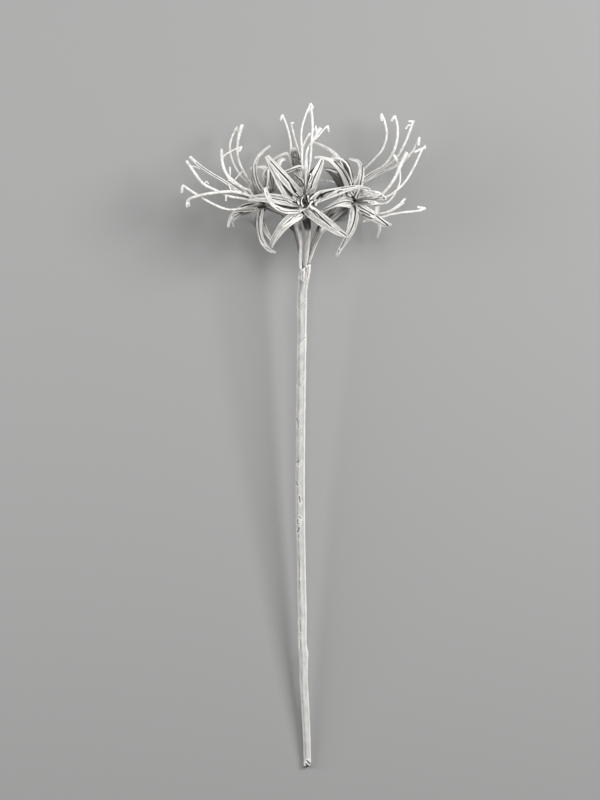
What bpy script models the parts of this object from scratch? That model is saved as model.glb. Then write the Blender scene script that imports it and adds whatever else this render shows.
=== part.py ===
"""Spider lily, cut and lying down: an umbel of six blooms with long hooked filaments on one bare stem.

The flower is hand made. Folded paper strips are the tepals, paper-taped wires are the pedicels and
filaments, and a paper-taped tube is the stem. It rests on the cut end of its stem and on one tepal of each
rear bloom.
A place is (right, down, height): the column and row of the tracing, in units of TRACE_STEP, and millimetres
above the surface that the flower lies on. A tepal is a row of stations from its root to its tip, each
(right, down, right, down, height): a place on its one edge, the place across on its other edge, and the
height of both.
"""

import math

import bmesh
import bpy
from mathutils import Vector

MM = 0.001

# Driving sizes
FLOWER_LENGTH = 0.498  # cut end to the highest filament
FOOT_ROW = 767  # row of the cut end in the tracing
TOP_ROW = 103  # row of the highest filament in the tracing
AXIS_COLUMN = 303  # column taken as x = 0
TRACE_STEP = FLOWER_LENGTH / (FOOT_ROW - TOP_ROW)

# Stem and neck
STEM_FOOT_HEIGHT = 2.5  # mm, axis of the stem at its cut end
STEM_RISE = 0.125  # mm of height for each mm of length, up to the neck
STEM_SIDES = 4  # bevel resolution, 12 sides
STEM_RINGS = 42
STEM_BORE_DEPTH = 14.0  # mm, hollow of the cut end
STEM_BORE_RADIUS = 1.8
STEM_BORE_RUNOUT = 3  # tracing steps that the bore starts outside the cut end
STEM_END_ROWS = 5  # rows of STEM_LINE, inside the neck, that get a ring each
STEM_CUT_ZONE = 2  # tracing steps from the cut end that take its slant
FOOT_SLANT = (1.0, 0.0, 1.7)  # mm that the cut is set back at the right and at the top of the tube
FOOT_SETBACK = 1.5  # mm that the middle of the slanted cut is set back
SEAM_PITCH = 31.0  # mm along the stem for each turn of the tape
SEAM_STEP = 0.28  # mm, height of the tape's edge
RECESS_ROW = 309  # the stem is thinner above this row, inside the neck tape
TAPE_THICKNESS = 0.5
TAPE_SIDES = 14
TAPE_RINGS = 7

# row, column of the centre, width in tracing steps
STEM_LINE = [
    (767, 307.4, 7.4), (740, 306.8, 7.8), (710, 305.4, 8.1), (682, 303.7, 8.3), (657, 303.6, 9.1),
    (645, 302.4, 8.9), (618, 302.3, 9.2), (590, 301.8, 9.0), (550, 301.0, 8.9), (520, 300.4, 9.4),
    (482, 300.1, 9.7), (450, 300.5, 9.2), (420, 300.6, 9.6), (380, 301.3, 9.3), (340, 301.8, 9.4),
    (309.4, 302.0, 9.8), (308.7, 302.0, 7.8), (296, 302.1, 7.4), (287, 302.6, 6.8), (279.5, 303.6, 6.4),
]
# row, column of the centre, width of the tape round the neck
NECK_LINE = [
    (308.2, 302.0, 9.9), (298, 302.0, 9.8), (290, 302.4, 9.4), (284, 303.0, 9.9),
    (278, 303.7, 10.9), (272, 304.4, 11.6), (264.5, 304.9, 12.3),
]
NECK_TOP_SLANT = 5.5  # mm that the tape's upper edge rises from its left side to its right

# Blades and wires
BLADE_THICKNESS = 0.7
BLADE_ROWS = 10
BLADE_FOLD = 0.42  # rise of the edges over the centre crease, as a share of half the width
BLADE_ROOT_SHARE = 0.42  # width inside the tube, as a share of the first traced width
BLADE_RIM_SHARE = 0.72  # width at the tube's rim, as the same share
TUBE_RADIUS = 2.5
TUBE_END = 1.0  # mm from the tube's end to the throat's centre
PLUG_RADIUS = 1.35
PLUG_LENGTH = 2.2
PLUG_START = -0.6  # mm along the bloom's axis, from the throat's centre
PLUG_TAPER = 0.8
TUBE_FOOT_RADII = (1.7, 1.9)  # mm, at the ovary and just above it
TUBE_FOOT_LENGTH = 1.5
TUBE_WAIST_RADIUS = 2.1
TUBE_TOP_LENGTH = 3.5  # mm of straight tube below the throat
RIM_RADIUS = 2.9
RIM_RISE = 0.7
ROOT_DEPTH = 4.2
ROOT_RADIUS = 1.35
SEAT_GAP = 0.35
FILAMENT_RADIUS = 0.78
FILAMENT_TAPER = (1.08, 0.83)  # share of the radius at the root and at the tip
FILAMENT_ROOT_OFFSET = 0.5  # mm from the bloom's axis
FILAMENT_LEAVE = (6.5, 1.4)  # mm along the axis and away from it, where a filament leaves the throat
FILAMENT_SAMPLES = 8
ANTHER_RADIUS = 0.9
PEDICEL_SIDES = 2
FILAMENT_SIDES = 1
CURVE_STEPS = 12  # fine steps between two points of a smooth curve
WELD_DISTANCE = 0.00001

BLOOMS = {
    "front": {
        "axis": (0.0, 0.22, 0.975),
        "throat": (305, 203, 80),
        "pedicel": [
            (304.2, 277, 51.3, 0.95), (304.9, 267, 52.8, 1.05), (305.7, 261, 53.6, 1.55),
            (306.3, 254, 55, 2.0), (307.1, 243, 57.5, 2.35),
            (307.7, 232, 60.5, 2.35), (307.9, 226.5, 62.5, 2.45), (308, 221, 65, 2.3), (308, 217.5, 67, 1.8),
        ],
        "tube": [(306.8, 210, 71.5)],
        "tepals": [
            [(291.5, 196.5, 302, 190.5, 86), (282.5, 185, 291, 178.5, 91), (275, 173.5, 282.5, 169.5, 90.5),
             (269.5, 164.5, 275.5, 162.5, 87), (265.2, 157, 268.6, 155.6, 83)],
            [(291, 200, 294, 197, 84), (284.5, 197.5, 288, 195.5, 87), (279.3, 190, 284, 188.5, 89.5),
             (274.3, 180, 278.7, 179, 90), (270.3, 170, 273.7, 169.5, 88.5), (265.3, 158, 269, 159, 84.2)],
            [(306.5, 191, 315, 191, 87), (309, 181, 318.5, 181.5, 91), (312.5, 172.5, 321, 173, 90.5),
             (317, 165, 323, 166, 88), (320.3, 159.3, 324, 159.7, 84)],
            [(311.5, 195.5, 315.5, 205, 86), (320, 191.3, 322, 202, 88.5), (330, 189.4, 331.5, 198.2, 90),
             (340, 187.8, 341, 194.8, 89), (350, 186.3, 350.5, 190.8, 86), (363, 185.8, 363.8, 188.3, 79.5)],
            [(312, 206.5, 303, 212.5, 85), (319, 211, 312, 220.5, 86.5), (327, 217, 320, 226.3, 87),
             (334, 223, 329, 231.3, 84.5), (340.5, 228.7, 336.5, 235.3, 81), (347.3, 235, 344.5, 237.8, 76)],
            [(297.5, 212, 302, 218, 86), (288.5, 215, 294.5, 223.5, 87.5), (281.5, 221.5, 287.5, 229, 87),
             (275.5, 230.5, 281, 236, 83.5), (271, 239, 275.5, 243, 78.5), (269.9, 246, 272.6, 248.2, 74)],
            [(290, 199, 293, 207, 85), (281, 195.3, 282, 206.3, 87.5), (271, 194, 271, 204, 88.3),
             (261, 194.6, 260.5, 202, 85), (249.5, 196.5, 248.5, 201.5, 78.5)],
            [(299, 210.3, 300, 213.3, 86), (290, 209.3, 289.5, 214.6, 90), (281.5, 206.5, 280, 212, 94),
             (274, 201.5, 271.5, 206.5, 95.3), (269.5, 194, 266.5, 198.5, 95),
             (266.8, 187, 263.6, 189, 92.3)],
        ],
        "filaments": [
            ([(304.5, 186, 98), (302.5, 168, 108), (301.7, 148, 112), (301.5, 132, 112), (305, 118, 108),
              (310.5, 104.5, 103)], [(310.5, 104.5, 103), (313, 109, 103)]),
            ([(306.5, 186, 98), (309.5, 168, 107), (311, 150, 111), (312.5, 130, 110), (312, 116, 106),
              (311, 108.5, 103)], [(312.3, 120, 107), (311, 108.5, 103)]),
            ([(305.5, 186, 95), (306, 170, 101), (306.5, 154, 104), (311, 143.5, 102), (318, 137, 99),
              (323, 131, 96), (327.5, 126.5, 94)], [(327.5, 126.5, 94), (328.5, 132.5, 94)]),
        ],
    },
    "left": {
        "axis": (-0.85, 0.15, 0.5),
        "throat": (263, 205, 56),
        "pedicel": [
            (301.5, 277, 50.0, 0.95), (301.6, 272, 50.5, 0.97), (300.9, 267.5, 51, 1.1),
            (300.6, 262, 51.6, 1.25), (300.8, 254, 52.6, 1.4), (301.2, 243, 54.5, 1.5),
            (299.8, 234, 57, 1.7), (298.6, 229, 58, 2.6), (297, 224.5, 58.6, 2.6), (295, 221, 58.8, 1.9),
        ],
        "tube": [(286, 214.5, 57.5), (274, 209.5, 55)],
        "tepals": [
            [(264, 210, 259, 210.5, 60.5), (263.3, 217, 256.8, 217, 61), (262.5, 226, 256.5, 226, 61),
             (262.8, 234, 258, 235.5, 59.5), (266, 242.5, 261.5, 244.5, 55.5), (271, 249, 268.5, 251.3, 51),
             (276, 251.8, 275.2, 253.5, 48)],
            [(264, 218, 261.5, 220, 52), (267, 228, 263.5, 230, 50), (270.3, 235, 267, 236.3, 47.5),
             (272, 239.8, 270.5, 240.6, 45)],
            [(256, 203.3, 257, 211, 58), (247, 203.3, 248, 212, 59), (240, 206, 241, 213, 59.3),
             (234, 210.5, 235.5, 215.5, 58), (229.5, 217, 232, 219, 55.5), (227, 226.5, 228.8, 227.5, 52)],
            [(248, 210, 249, 213.5, 54), (241, 212.5, 243, 216, 54), (235.5, 216, 237.5, 218.5, 51),
             (231.8, 220.5, 233.8, 221.5, 48.5), (232.6, 226, 234.4, 227, 45)],
            [(256.5, 192, 263, 190, 61), (251.8, 181, 258, 180.5, 63.5), (251.8, 171, 257, 171, 64),
             (254.3, 161.5, 258, 162.5, 61), (258.8, 153.7, 260.6, 154.8, 57),
             (269.6, 144.7, 270.6, 146.2, 51)],
            [(257, 197.5, 262, 193, 51), (252, 192, 257, 187.5, 48), (249, 186.5, 252, 183.5, 45)],
        ],
        "filaments": [
            ([(250, 191, 66), (243, 188, 68), (233, 180.5, 70), (226.5, 174, 70), (222.5, 163, 68),
              (221.5, 152, 64)], [(222, 158, 66), (221.5, 149.5, 63)]),
            ([(248, 196, 65), (235, 189, 68), (225, 182, 70), (210, 173, 69), (200, 166, 67),
              (190, 157, 63)],
             [(196, 162.5, 65.5), (190, 157, 63)]),
            ([(245, 199, 66), (230, 196.5, 68), (215, 190, 68), (203, 183.5, 67), (194, 172, 65),
              (187, 161.5, 62)], [(189.5, 165, 63), (186.5, 161, 61.5)]),
            ([(249, 206.8, 67), (236, 209.5, 69), (225, 209, 68), (210, 202.5, 66), (195, 193.5, 63),
              (183, 185.5, 60)], [(183, 185.5, 60), (181.5, 192.5, 58)]),
            ([(252, 197, 68), (237, 192.5, 72), (225, 192, 73), (205, 194.5, 72), (192, 198, 69),
              (187.5, 201, 66)], [(187.5, 201, 66), (187, 207, 65)]),
            ([(240, 187, 68), (229.5, 180, 69.5), (223, 165, 67), (223, 157.5, 65.5), (230, 152, 64),
              (241.5, 146.5, 62)], [(241.5, 146.5, 62), (239.5, 151.5, 62)]),
        ],
    },
    "right": {
        "axis": (0.78, 0.12, 0.61),
        "throat": (354, 200, 58),
        "pedicel": [
            (306.7, 277, 50.0, 0.95), (307.6, 267, 51.3, 1.0), (310.4, 257, 52.6, 1.4),
            (315.5, 243, 54.5, 1.7),
            (320, 233.5, 56.6, 1.7), (322.3, 229.7, 57.3, 2.6), (325, 226.5, 57.8, 2.6),
            (327.5, 224, 58, 1.9),
        ],
        "tube": [(335, 217, 57), (345, 207.5, 55.5)],
        "tepals": [
            [(350.5, 198.3, 351.5, 208, 62), (344.5, 196.8, 345, 207.3, 66), (338, 199, 339, 206.8, 69),
             (331, 203.7, 332.5, 208.3, 68.5), (325, 208, 326, 211, 66.5), (319.8, 212, 320.6, 213.6, 63)],
            [(349.8, 213, 357, 211, 66), (348.3, 221, 358.5, 218, 67), (346.3, 230, 356, 228, 66),
             (342.5, 240, 350, 238.5, 61.5), (338.8, 248, 344, 247, 56.5), (335.6, 255.8, 337.8, 257, 52)],
            [(361, 190.5, 359, 198.5, 66), (368, 190.8, 367, 199, 69), (376, 191.3, 376, 199.5, 70),
             (382, 193.5, 381.5, 200, 68), (386.5, 198.3, 385.5, 201, 66)],
            [(362, 200.3, 361, 203.5, 66.5), (371, 200.7, 369.5, 205, 69.5), (378.3, 203.5, 374.5, 206, 70),
             (379, 211, 375, 211, 68.8), (376.5, 218.5, 373.5, 215.5, 65.5), (370, 221.5, 369, 218.8, 61.5),
             (363.2, 222.7, 363, 220.3, 59)],
            [(358, 204, 355.5, 208, 63), (365, 205.5, 360, 213, 66), (373, 212, 366, 218.5, 68),
             (380, 217, 375.5, 222.8, 67), (387, 222, 383.5, 227, 64), (392, 224.4, 391, 226.3, 61)],
            [(354.5, 186.5, 361.8, 186.5, 63), (357, 178, 363.6, 177, 66.8),
             (358.8, 169.5, 363.4, 168.5, 66.5),
             (357, 163, 359.6, 160.7, 62), (352.5, 161, 353.3, 158.7, 58.5), (349, 159.4, 349.2, 157.8, 55)],
        ],
        "filaments": [
            ([(372, 199, 63), (386, 197, 65), (396, 191, 68), (405, 182, 69), (413, 169, 69),
              (419.5, 155, 67),
              (422.5, 148.5, 65)], [(414.5, 152.3, 64.5), (425.5, 147.3, 65)]),
            ([(370, 198, 63), (382, 194, 66), (393, 181, 71), (400, 166.5, 73), (406.5, 153, 72)],
             [(403, 160, 72.5), (406.5, 153, 72)]),
            ([(370, 202.5, 62), (385, 203.5, 64), (393, 196.5, 66), (399, 185, 68), (400, 174, 69),
              (398, 163.5, 69), (394, 155.5, 68)], [(395.5, 159, 68.4), (393.8, 155, 68)]),
            ([(366, 206, 60), (378, 213.5, 61), (390, 210.5, 63), (398, 205.5, 65), (404.5, 200, 64)],
             [(401, 203, 64.5), (405, 199, 64)]),
            ([(367, 209, 56.5), (379, 217, 57), (390, 214.8, 59), (404, 212.5, 62), (418, 211, 62),
              (425, 208.7, 61)], [(425, 208.5, 61), (417.5, 207.3, 61)]),
        ],
    },
    "rear_left": {
        "axis": (-0.5, 0.5, -0.7),
        "throat": (270, 196, 30),
        "pedicel": [
            (301.5, 277, 47.5, 0.95), (301.9, 266, 48.6, 1.0), (300.4, 256, 48, 1.0), (297.3, 243, 46, 0.8),
            (294.6, 232.5, 44, 0.85), (293.1, 229, 43.3, 1.5), (290.6, 225, 42.4, 2.0),
            (289, 222.5, 41.8, 1.7),
        ],
        "tube": [(281, 211, 38), (274.5, 202, 34)],
        "tepals": [
            [(266, 190, 272, 189, 41), (262.5, 181, 270, 180, 46.5), (263.5, 172, 269, 170.5, 47),
             (267.3, 167, 269.5, 167, 46)],
            [(271, 190, 277, 189, 40), (270.5, 180, 277.5, 179.5, 43), (269.5, 172, 275, 173, 42),
             (271.5, 169, 273, 170, 41)],
            [(263.8, 186, 266.6, 185, 38), (264, 176, 266.9, 175, 41), (262.8, 168.8, 266, 166.4, 41.5),
             (257, 168.1, 257.3, 166, 39.5), (250.4, 169.2, 250.4, 167.4, 36)],
            [(268, 206, 262, 205.5, 21), (263, 214, 257, 213.5, 12), (260.3, 221.5, 254.7, 221, 4.1),
             (260.8, 229.5, 255.5, 230, 0.0), (262.5, 237.5, 259.5, 238.8, 2.2)],
            [(258, 200, 259, 194, 22), (247, 198, 248, 192.3, 16), (238, 195, 238, 193, 12)],
            [(274.5, 186, 278.5, 185.5, 37), (274, 172.5, 279, 173, 43), (276.3, 163, 281, 164.5, 46),
             (281.5, 157.6, 283.5, 160.7, 45), (288, 159.2, 287.5, 161.2, 42)],
        ],
        "filaments": [
            ([(259, 190.5, 23), (251, 182, 25), (243, 170, 28), (238, 157, 31), (237.7, 143, 34),
              (240, 131, 36),
              (242, 124.5, 36)], [(240.8, 130, 36), (242.3, 124, 36)]),
            ([(257, 189, 19), (248, 182, 21), (240, 174, 24), (233, 161.5, 27), (229.8, 148, 30),
              (231.5, 138, 32), (237, 126.5, 33)], [(237, 126.5, 33), (238.5, 131.5, 33)]),
            ([(260, 184, 17), (256, 172, 13), (257, 160, 13), (263, 151, 15)],
             [(261, 154, 14.5), (264, 149.5, 15.5)]),
        ],
    },
    "rear_right": {
        "axis": (0.5, 0.5, -0.7),
        "throat": (344, 194, 30),
        "pedicel": [
            (306.7, 277, 47.5, 0.95), (307.6, 266, 48.6, 1.0), (309, 256, 48, 1.0), (312.2, 243, 46.4, 0.75),
            (316.6, 232.5, 44.6, 0.8), (318.4, 229, 43.8, 1.5), (321, 225, 43, 2.0),
            (322.6, 222.5, 42.4, 1.7),
        ],
        "tube": [(331, 210, 38), (338.5, 201, 34)],
        "tepals": [
            [(345, 187.5, 352, 186, 42), (341.5, 177.5, 348.5, 176, 49.5), (336, 168.5, 342.5, 166.8, 54),
             (329, 161.5, 333, 159.5, 54), (321, 158.7, 321.5, 156.2, 51), (314.5, 158.6, 314.5, 156.5, 48)],
            [(347, 185, 353.5, 184, 37), (345.5, 174, 352, 172, 43), (341.5, 165.5, 347.5, 161.5, 45),
             (337, 160.5, 338.5, 157, 43), (331, 159.8, 331, 157.2, 39)],
            [(341, 181, 346, 180, 34), (337.5, 165.5, 343.5, 163.5, 39), (332, 155, 336, 152.5, 40),
             (323.5, 147.3, 324.5, 145, 37), (312.8, 142.8, 313.2, 140.9, 31)],
            [(337, 185.5, 342.5, 182, 36), (331, 175.5, 339, 172.5, 38), (326.5, 170.9, 333, 168.5, 37),
             (324, 169.6, 324.3, 167.4, 31)],
            [(349, 207, 344, 203.5, 21), (346.5, 214.5, 341.5, 208, 11), (339.5, 219.5, 336.5, 211.5, 4),
             (331.5, 222, 330, 214, 0.5), (324, 220.3, 324, 217.7, 2.6)],
            [(356, 202, 358.5, 197, 24), (367, 211, 369.5, 206, 22), (375.5, 219, 379, 217, 25),
             (378.8, 228.5, 381.3, 228.5, 26), (376, 236.5, 378, 237.7, 22)],
        ],
        "filaments": [
            ([(356, 180, 20), (363.5, 169.5, 22), (373, 160, 28), (382.5, 149, 33), (386.8, 135, 36),
              (385, 122, 37), (381.5, 113.5, 37)], [(381.5, 113.5, 37), (381.5, 120.5, 37)]),
            ([(357, 183, 18), (370, 173.5, 22), (384, 165, 28), (393.5, 151.5, 33), (397.5, 137, 36),
              (397.5, 125, 37), (395, 115.5, 37)], [(395, 115.5, 37), (391.5, 120.5, 37)]),
            ([(358, 185, 14), (372, 174.5, 17), (385, 167, 22), (396, 158, 28), (404.5, 144, 33),
              (409.5, 132, 36), (413, 122, 37)], [(409, 121, 37), (414.5, 121.3, 37)]),
            ([(358, 187, 11), (367, 178.5, 12), (381, 171, 16), (395, 165.5, 21), (410, 154, 27),
              (416, 145, 31), (419, 138, 33)], [(419.5, 137, 33), (418.5, 145, 33)]),
            ([(347, 184, 17), (339, 183.5, 17), (330, 180.7, 20), (320, 180.3, 22)],
             [(323, 180.4, 21.5), (319.5, 180.3, 22)]),
        ],
    },
    "rear": {
        "axis": (0.0, 0.65, -0.76),
        "throat": (301, 190, 30),
        "pedicel": [
            (304.2, 277, 46.3, 0.95), (304.9, 266, 47.4, 1.0), (306, 256, 45.6, 1.1), (307, 243, 43, 1.2),
            (307.3, 232.5, 41, 1.3), (306.8, 228, 40.2, 1.8), (305.8, 223, 39.2, 2.0),
            (304.6, 220, 38.7, 1.7),
        ],
        "tube": [(303, 209, 36.5), (301.5, 200, 34)],
        "tepals": [
            [(296.5, 184, 304.5, 183, 42), (294, 173, 303, 172.5, 48), (291.5, 161, 300.5, 160.5, 50),
             (291, 152, 297.5, 151, 48), (292, 147.8, 295, 147.3, 46)],
            [(294.5, 177, 297.5, 175.5, 40), (291.5, 164.5, 295, 162.5, 44),
             (287.5, 155.3, 288.8, 152.4, 44),
             (280.3, 156.6, 279.6, 154.4, 42), (272.5, 161, 272, 159, 37)],
            [(304, 181, 307, 180, 41), (304.5, 170.5, 307.5, 169, 46), (299, 168.5, 299.5, 165, 50),
             (291, 171.5, 291, 168.3, 51), (283.8, 173.3, 284, 170.8, 49)],
            [(303.6, 184.6, 308.4, 187.4, 24), (307.5, 177, 313.5, 178.5, 17),
             (310.7, 170.2, 316, 172, 14), (317, 165, 318, 166.6, 10)],
            [(290.5, 187.4, 295, 185, 24), (281.8, 178.8, 286.4, 175.8, 15),
             (275.8, 169.2, 277.4, 168.2, 9)],
        ],
        "filaments": [
            ([(301.5, 174, 17), (302.3, 162, 16), (302.6, 150, 21), (306, 139, 26), (311.5, 132.5, 29),
              (316, 127.5, 31)], [(316, 127.5, 31), (317, 133, 31)]),
            ([(300, 172, 15), (296, 164.5, 20), (291.8, 156, 26), (290.4, 140, 31), (287, 126, 33),
              (282.5, 114.5, 33)], [(282.5, 114.5, 33), (280.5, 120, 33)]),
            ([(302, 172, 12), (300.8, 160, 14), (298, 149, 22), (295, 139, 27), (291.5, 125, 30)],
             [(290.5, 123.3, 30), (293.5, 122.5, 30)]),
        ],
    },
}

COLOURS = {
    "stem": (0.70, 0.68, 0.63, 1.0),
    "tape": (0.66, 0.64, 0.59, 1.0),
    "pedicel": (0.60, 0.58, 0.54, 1.0),
    "tepal": (0.78, 0.76, 0.71, 1.0),
    "filament": (0.82, 0.80, 0.75, 1.0),
}


def clear_scene():
    """Remove every object that the file holds."""
    for old in list(bpy.data.objects):
        bpy.data.objects.remove(old, do_unlink=True)


def make_collection(name):
    """Add a collection to the scene."""
    made = bpy.data.collections.new(name)
    bpy.context.scene.collection.children.link(made)
    return made


def make_material(name, colour):
    """A matt paper finish in one colour."""
    material = bpy.data.materials.new(name)
    material.use_nodes = True
    shader = material.node_tree.nodes["Principled BSDF"]
    shader.inputs["Base Color"].default_value = colour
    shader.inputs["Roughness"].default_value = 0.82
    shader.inputs["Metallic"].default_value = 0.0
    return material


def place(point):
    """The world position of a traced place."""
    right, down, height = point[:3]
    return Vector(((right - AXIS_COLUMN) * TRACE_STEP, (FOOT_ROW - down) * TRACE_STEP, height * MM))


def smooth_route(points, count):
    """An even run of count points on a smooth curve through all the given ones (Catmull-Rom)."""
    ends = [points[0] * 2 - points[1], *points, points[-1] * 2 - points[-2]]
    fine = []
    for before, start, end, after in zip(ends, ends[1:], ends[2:], ends[3:]):
        for step in range(CURVE_STEPS):
            t = step / CURVE_STEPS
            bend = 2 * before - 5 * start + 4 * end - after
            twist = 3 * start - before - 3 * end + after
            fine.append((2 * start + (end - before) * t + bend * t ** 2 + twist * t ** 3) / 2)
    fine.append(points[-1])
    lengths = [0.0]
    for start, end in zip(fine, fine[1:]):
        lengths.append(lengths[-1] + (end - start).length)
    route = []
    segment = 0
    for index in range(count):
        target = lengths[-1] * index / (count - 1)
        while segment < len(fine) - 2 and lengths[segment + 1] < target:
            segment += 1
        span = lengths[segment + 1] - lengths[segment]
        share = min(1.0, max(0.0, (target - lengths[segment]) / span))
        route.append(fine[segment].lerp(fine[segment + 1], share))
    return route


def blend_list(table, value):
    """Straight-line value between the rows of a table sorted by its first column."""
    for (low, start), (high, end) in zip(table, table[1:]):
        if value <= high:
            return start + (end - start) * max(0.0, (value - low) / (high - low))
    return table[-1][1]


def mesh_object(name, mesh, collection):
    """Put a mesh in the scene as an object."""
    made = bpy.data.objects.new(name, mesh)
    collection.objects.link(made)
    return made


def evaluated_copy(source, name, collection):
    """A plain mesh object with the source's modifiers or bevel worked in, and the source removed."""
    bpy.context.view_layer.update()
    graph = bpy.context.evaluated_depsgraph_get()
    mesh = bpy.data.meshes.new_from_object(source.evaluated_get(graph))
    where = source.matrix_world.copy()
    bpy.data.objects.remove(source, do_unlink=True)
    made = mesh_object(name, mesh, collection)
    made.matrix_world = where
    return made


def round_wire(name, points, radii, resolution, collection):
    """A closed tube along the points, with its own radius in millimetres at each."""
    curve = bpy.data.curves.new(name, "CURVE")
    curve.dimensions = "3D"
    curve.bevel_depth = MM
    curve.bevel_resolution = resolution
    curve.use_fill_caps = True
    spline = curve.splines.new("POLY")
    spline.points.add(len(points) - 1)
    for target, point, radius in zip(spline.points, points, radii):
        target.co = (*point, 1.0)
        target.radius = radius
    guide = bpy.data.objects.new(name, curve)
    collection.objects.link(guide)
    made = evaluated_copy(guide, name, collection)
    weld(made)
    return made


def weld(target):
    """Close the caps and point the faces outwards."""
    shape = bmesh.new()
    shape.from_mesh(target.data)
    bmesh.ops.remove_doubles(shape, verts=shape.verts, dist=WELD_DISTANCE)
    bmesh.ops.triangulate(shape, faces=shape.faces)
    bmesh.ops.recalc_face_normals(shape, faces=shape.faces)
    shape.to_mesh(target.data)
    shape.free()


def blade_edges(stations, root, rim, side):
    """The two edges of a tepal from inside its tube to its tip, the second one on the given side."""
    first = [place((right, down, height)) for right, down, _, _, height in stations]
    second = [place((right, down, height)) for _, _, right, down, height in stations]
    if side.dot(second[0] - first[0]) < 0:
        first, second = second, first
    half = side * (second[0] - first[0]).length / 2
    first = [root - half * BLADE_ROOT_SHARE, rim - half * BLADE_RIM_SHARE, *first]
    second = [root + half * BLADE_ROOT_SHARE, rim + half * BLADE_RIM_SHARE, *second]
    return first, second


def folded_blade(name, edges, collection):
    """A paper strip between two edges, folded along its middle, its edges raised to the bloom's inside."""
    first, second = [smooth_route(edge, BLADE_ROWS + 1) for edge in edges]
    shape = bmesh.new()
    bmesh.ops.create_grid(shape, x_segments=2, y_segments=BLADE_ROWS, size=1.0)
    for vertex in shape.verts:
        across = vertex.co.x
        row = round((vertex.co.y + 1) / 2 * BLADE_ROWS)
        before, after = max(0, row - 1), min(BLADE_ROWS, row + 1)
        along = first[after] + second[after] - first[before] - second[before]
        half = (second[row] - first[row]) / 2
        face = along.cross(half).normalized()
        lift = BLADE_FOLD * half.length * (abs(across) - 0.5)
        vertex.co = first[row] + half * (across + 1) + face * lift
    bmesh.ops.triangulate(shape, faces=shape.faces)
    bmesh.ops.recalc_face_normals(shape, faces=shape.faces)
    mesh = bpy.data.meshes.new(name)
    shape.to_mesh(mesh)
    shape.free()
    blade = mesh_object(name, mesh, collection)
    solid = blade.modifiers.new("thickness", "SOLIDIFY")
    solid.thickness = BLADE_THICKNESS * MM
    solid.offset = 0.0
    return evaluated_copy(blade, name, collection)


def fuse(name, pieces, material, collection):
    """Join the pieces into one solid and leave it in the object's collection."""
    body = pieces[0]
    others = bpy.data.collections.new(name + "_pieces")
    bpy.context.scene.collection.children.link(others)
    for piece in pieces[1:]:
        for holder in list(piece.users_collection):
            holder.objects.unlink(piece)
        others.objects.link(piece)
    union = body.modifiers.new("union", "BOOLEAN")
    union.operation = "UNION"
    union.operand_type = "COLLECTION"
    union.collection = others
    union.solver = "MANIFOLD"
    made = evaluated_copy(body, name, collection)
    for piece in list(others.objects):
        bpy.data.objects.remove(piece, do_unlink=True)
    bpy.data.collections.remove(others)
    keep_outer_body(made)
    made.data.materials.clear()
    made.data.materials.append(material)
    return made


def keep_outer_body(target):
    """Fill the pockets that fusing has sealed, by dropping every shell but the largest."""
    shape = bmesh.new()
    shape.from_mesh(target.data)
    waiting = set(shape.verts)
    shells = []
    while waiting:
        edge_of_shell = [waiting.pop()]
        shell = list(edge_of_shell)
        while edge_of_shell:
            vertex = edge_of_shell.pop()
            for edge in vertex.link_edges:
                other = edge.other_vert(vertex)
                if other in waiting:
                    waiting.remove(other)
                    shell.append(other)
                    edge_of_shell.append(other)
        shells.append(shell)
    shells.sort(key=len, reverse=True)
    for shell in shells[1:]:
        bmesh.ops.delete(shape, geom=shell, context="VERTS")
    shape.to_mesh(target.data)
    shape.free()


def plane_underside(target):
    """Cut a flat spot where the solid meets the surface that it lies on."""
    shape = bmesh.new()
    shape.from_mesh(target.data)
    cut = bmesh.ops.bisect_plane(
        shape, geom=[*shape.verts, *shape.edges, *shape.faces], plane_co=(0, 0, 0), plane_no=(0, 0, -1),
        clear_outer=True,
    )
    rim = [item for item in cut["geom_cut"] if isinstance(item, bmesh.types.BMEdge)]
    bmesh.ops.holes_fill(shape, edges=rim, sides=0)
    bmesh.ops.triangulate(shape, faces=shape.faces)
    bmesh.ops.recalc_face_normals(shape, faces=shape.faces)
    shape.to_mesh(target.data)
    shape.free()


def radial_direction(throat, axis, target):
    """The direction from the bloom's axis to a place, square to the axis."""
    offset = target - throat
    return (offset - axis * offset.dot(axis)).normalized()


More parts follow.
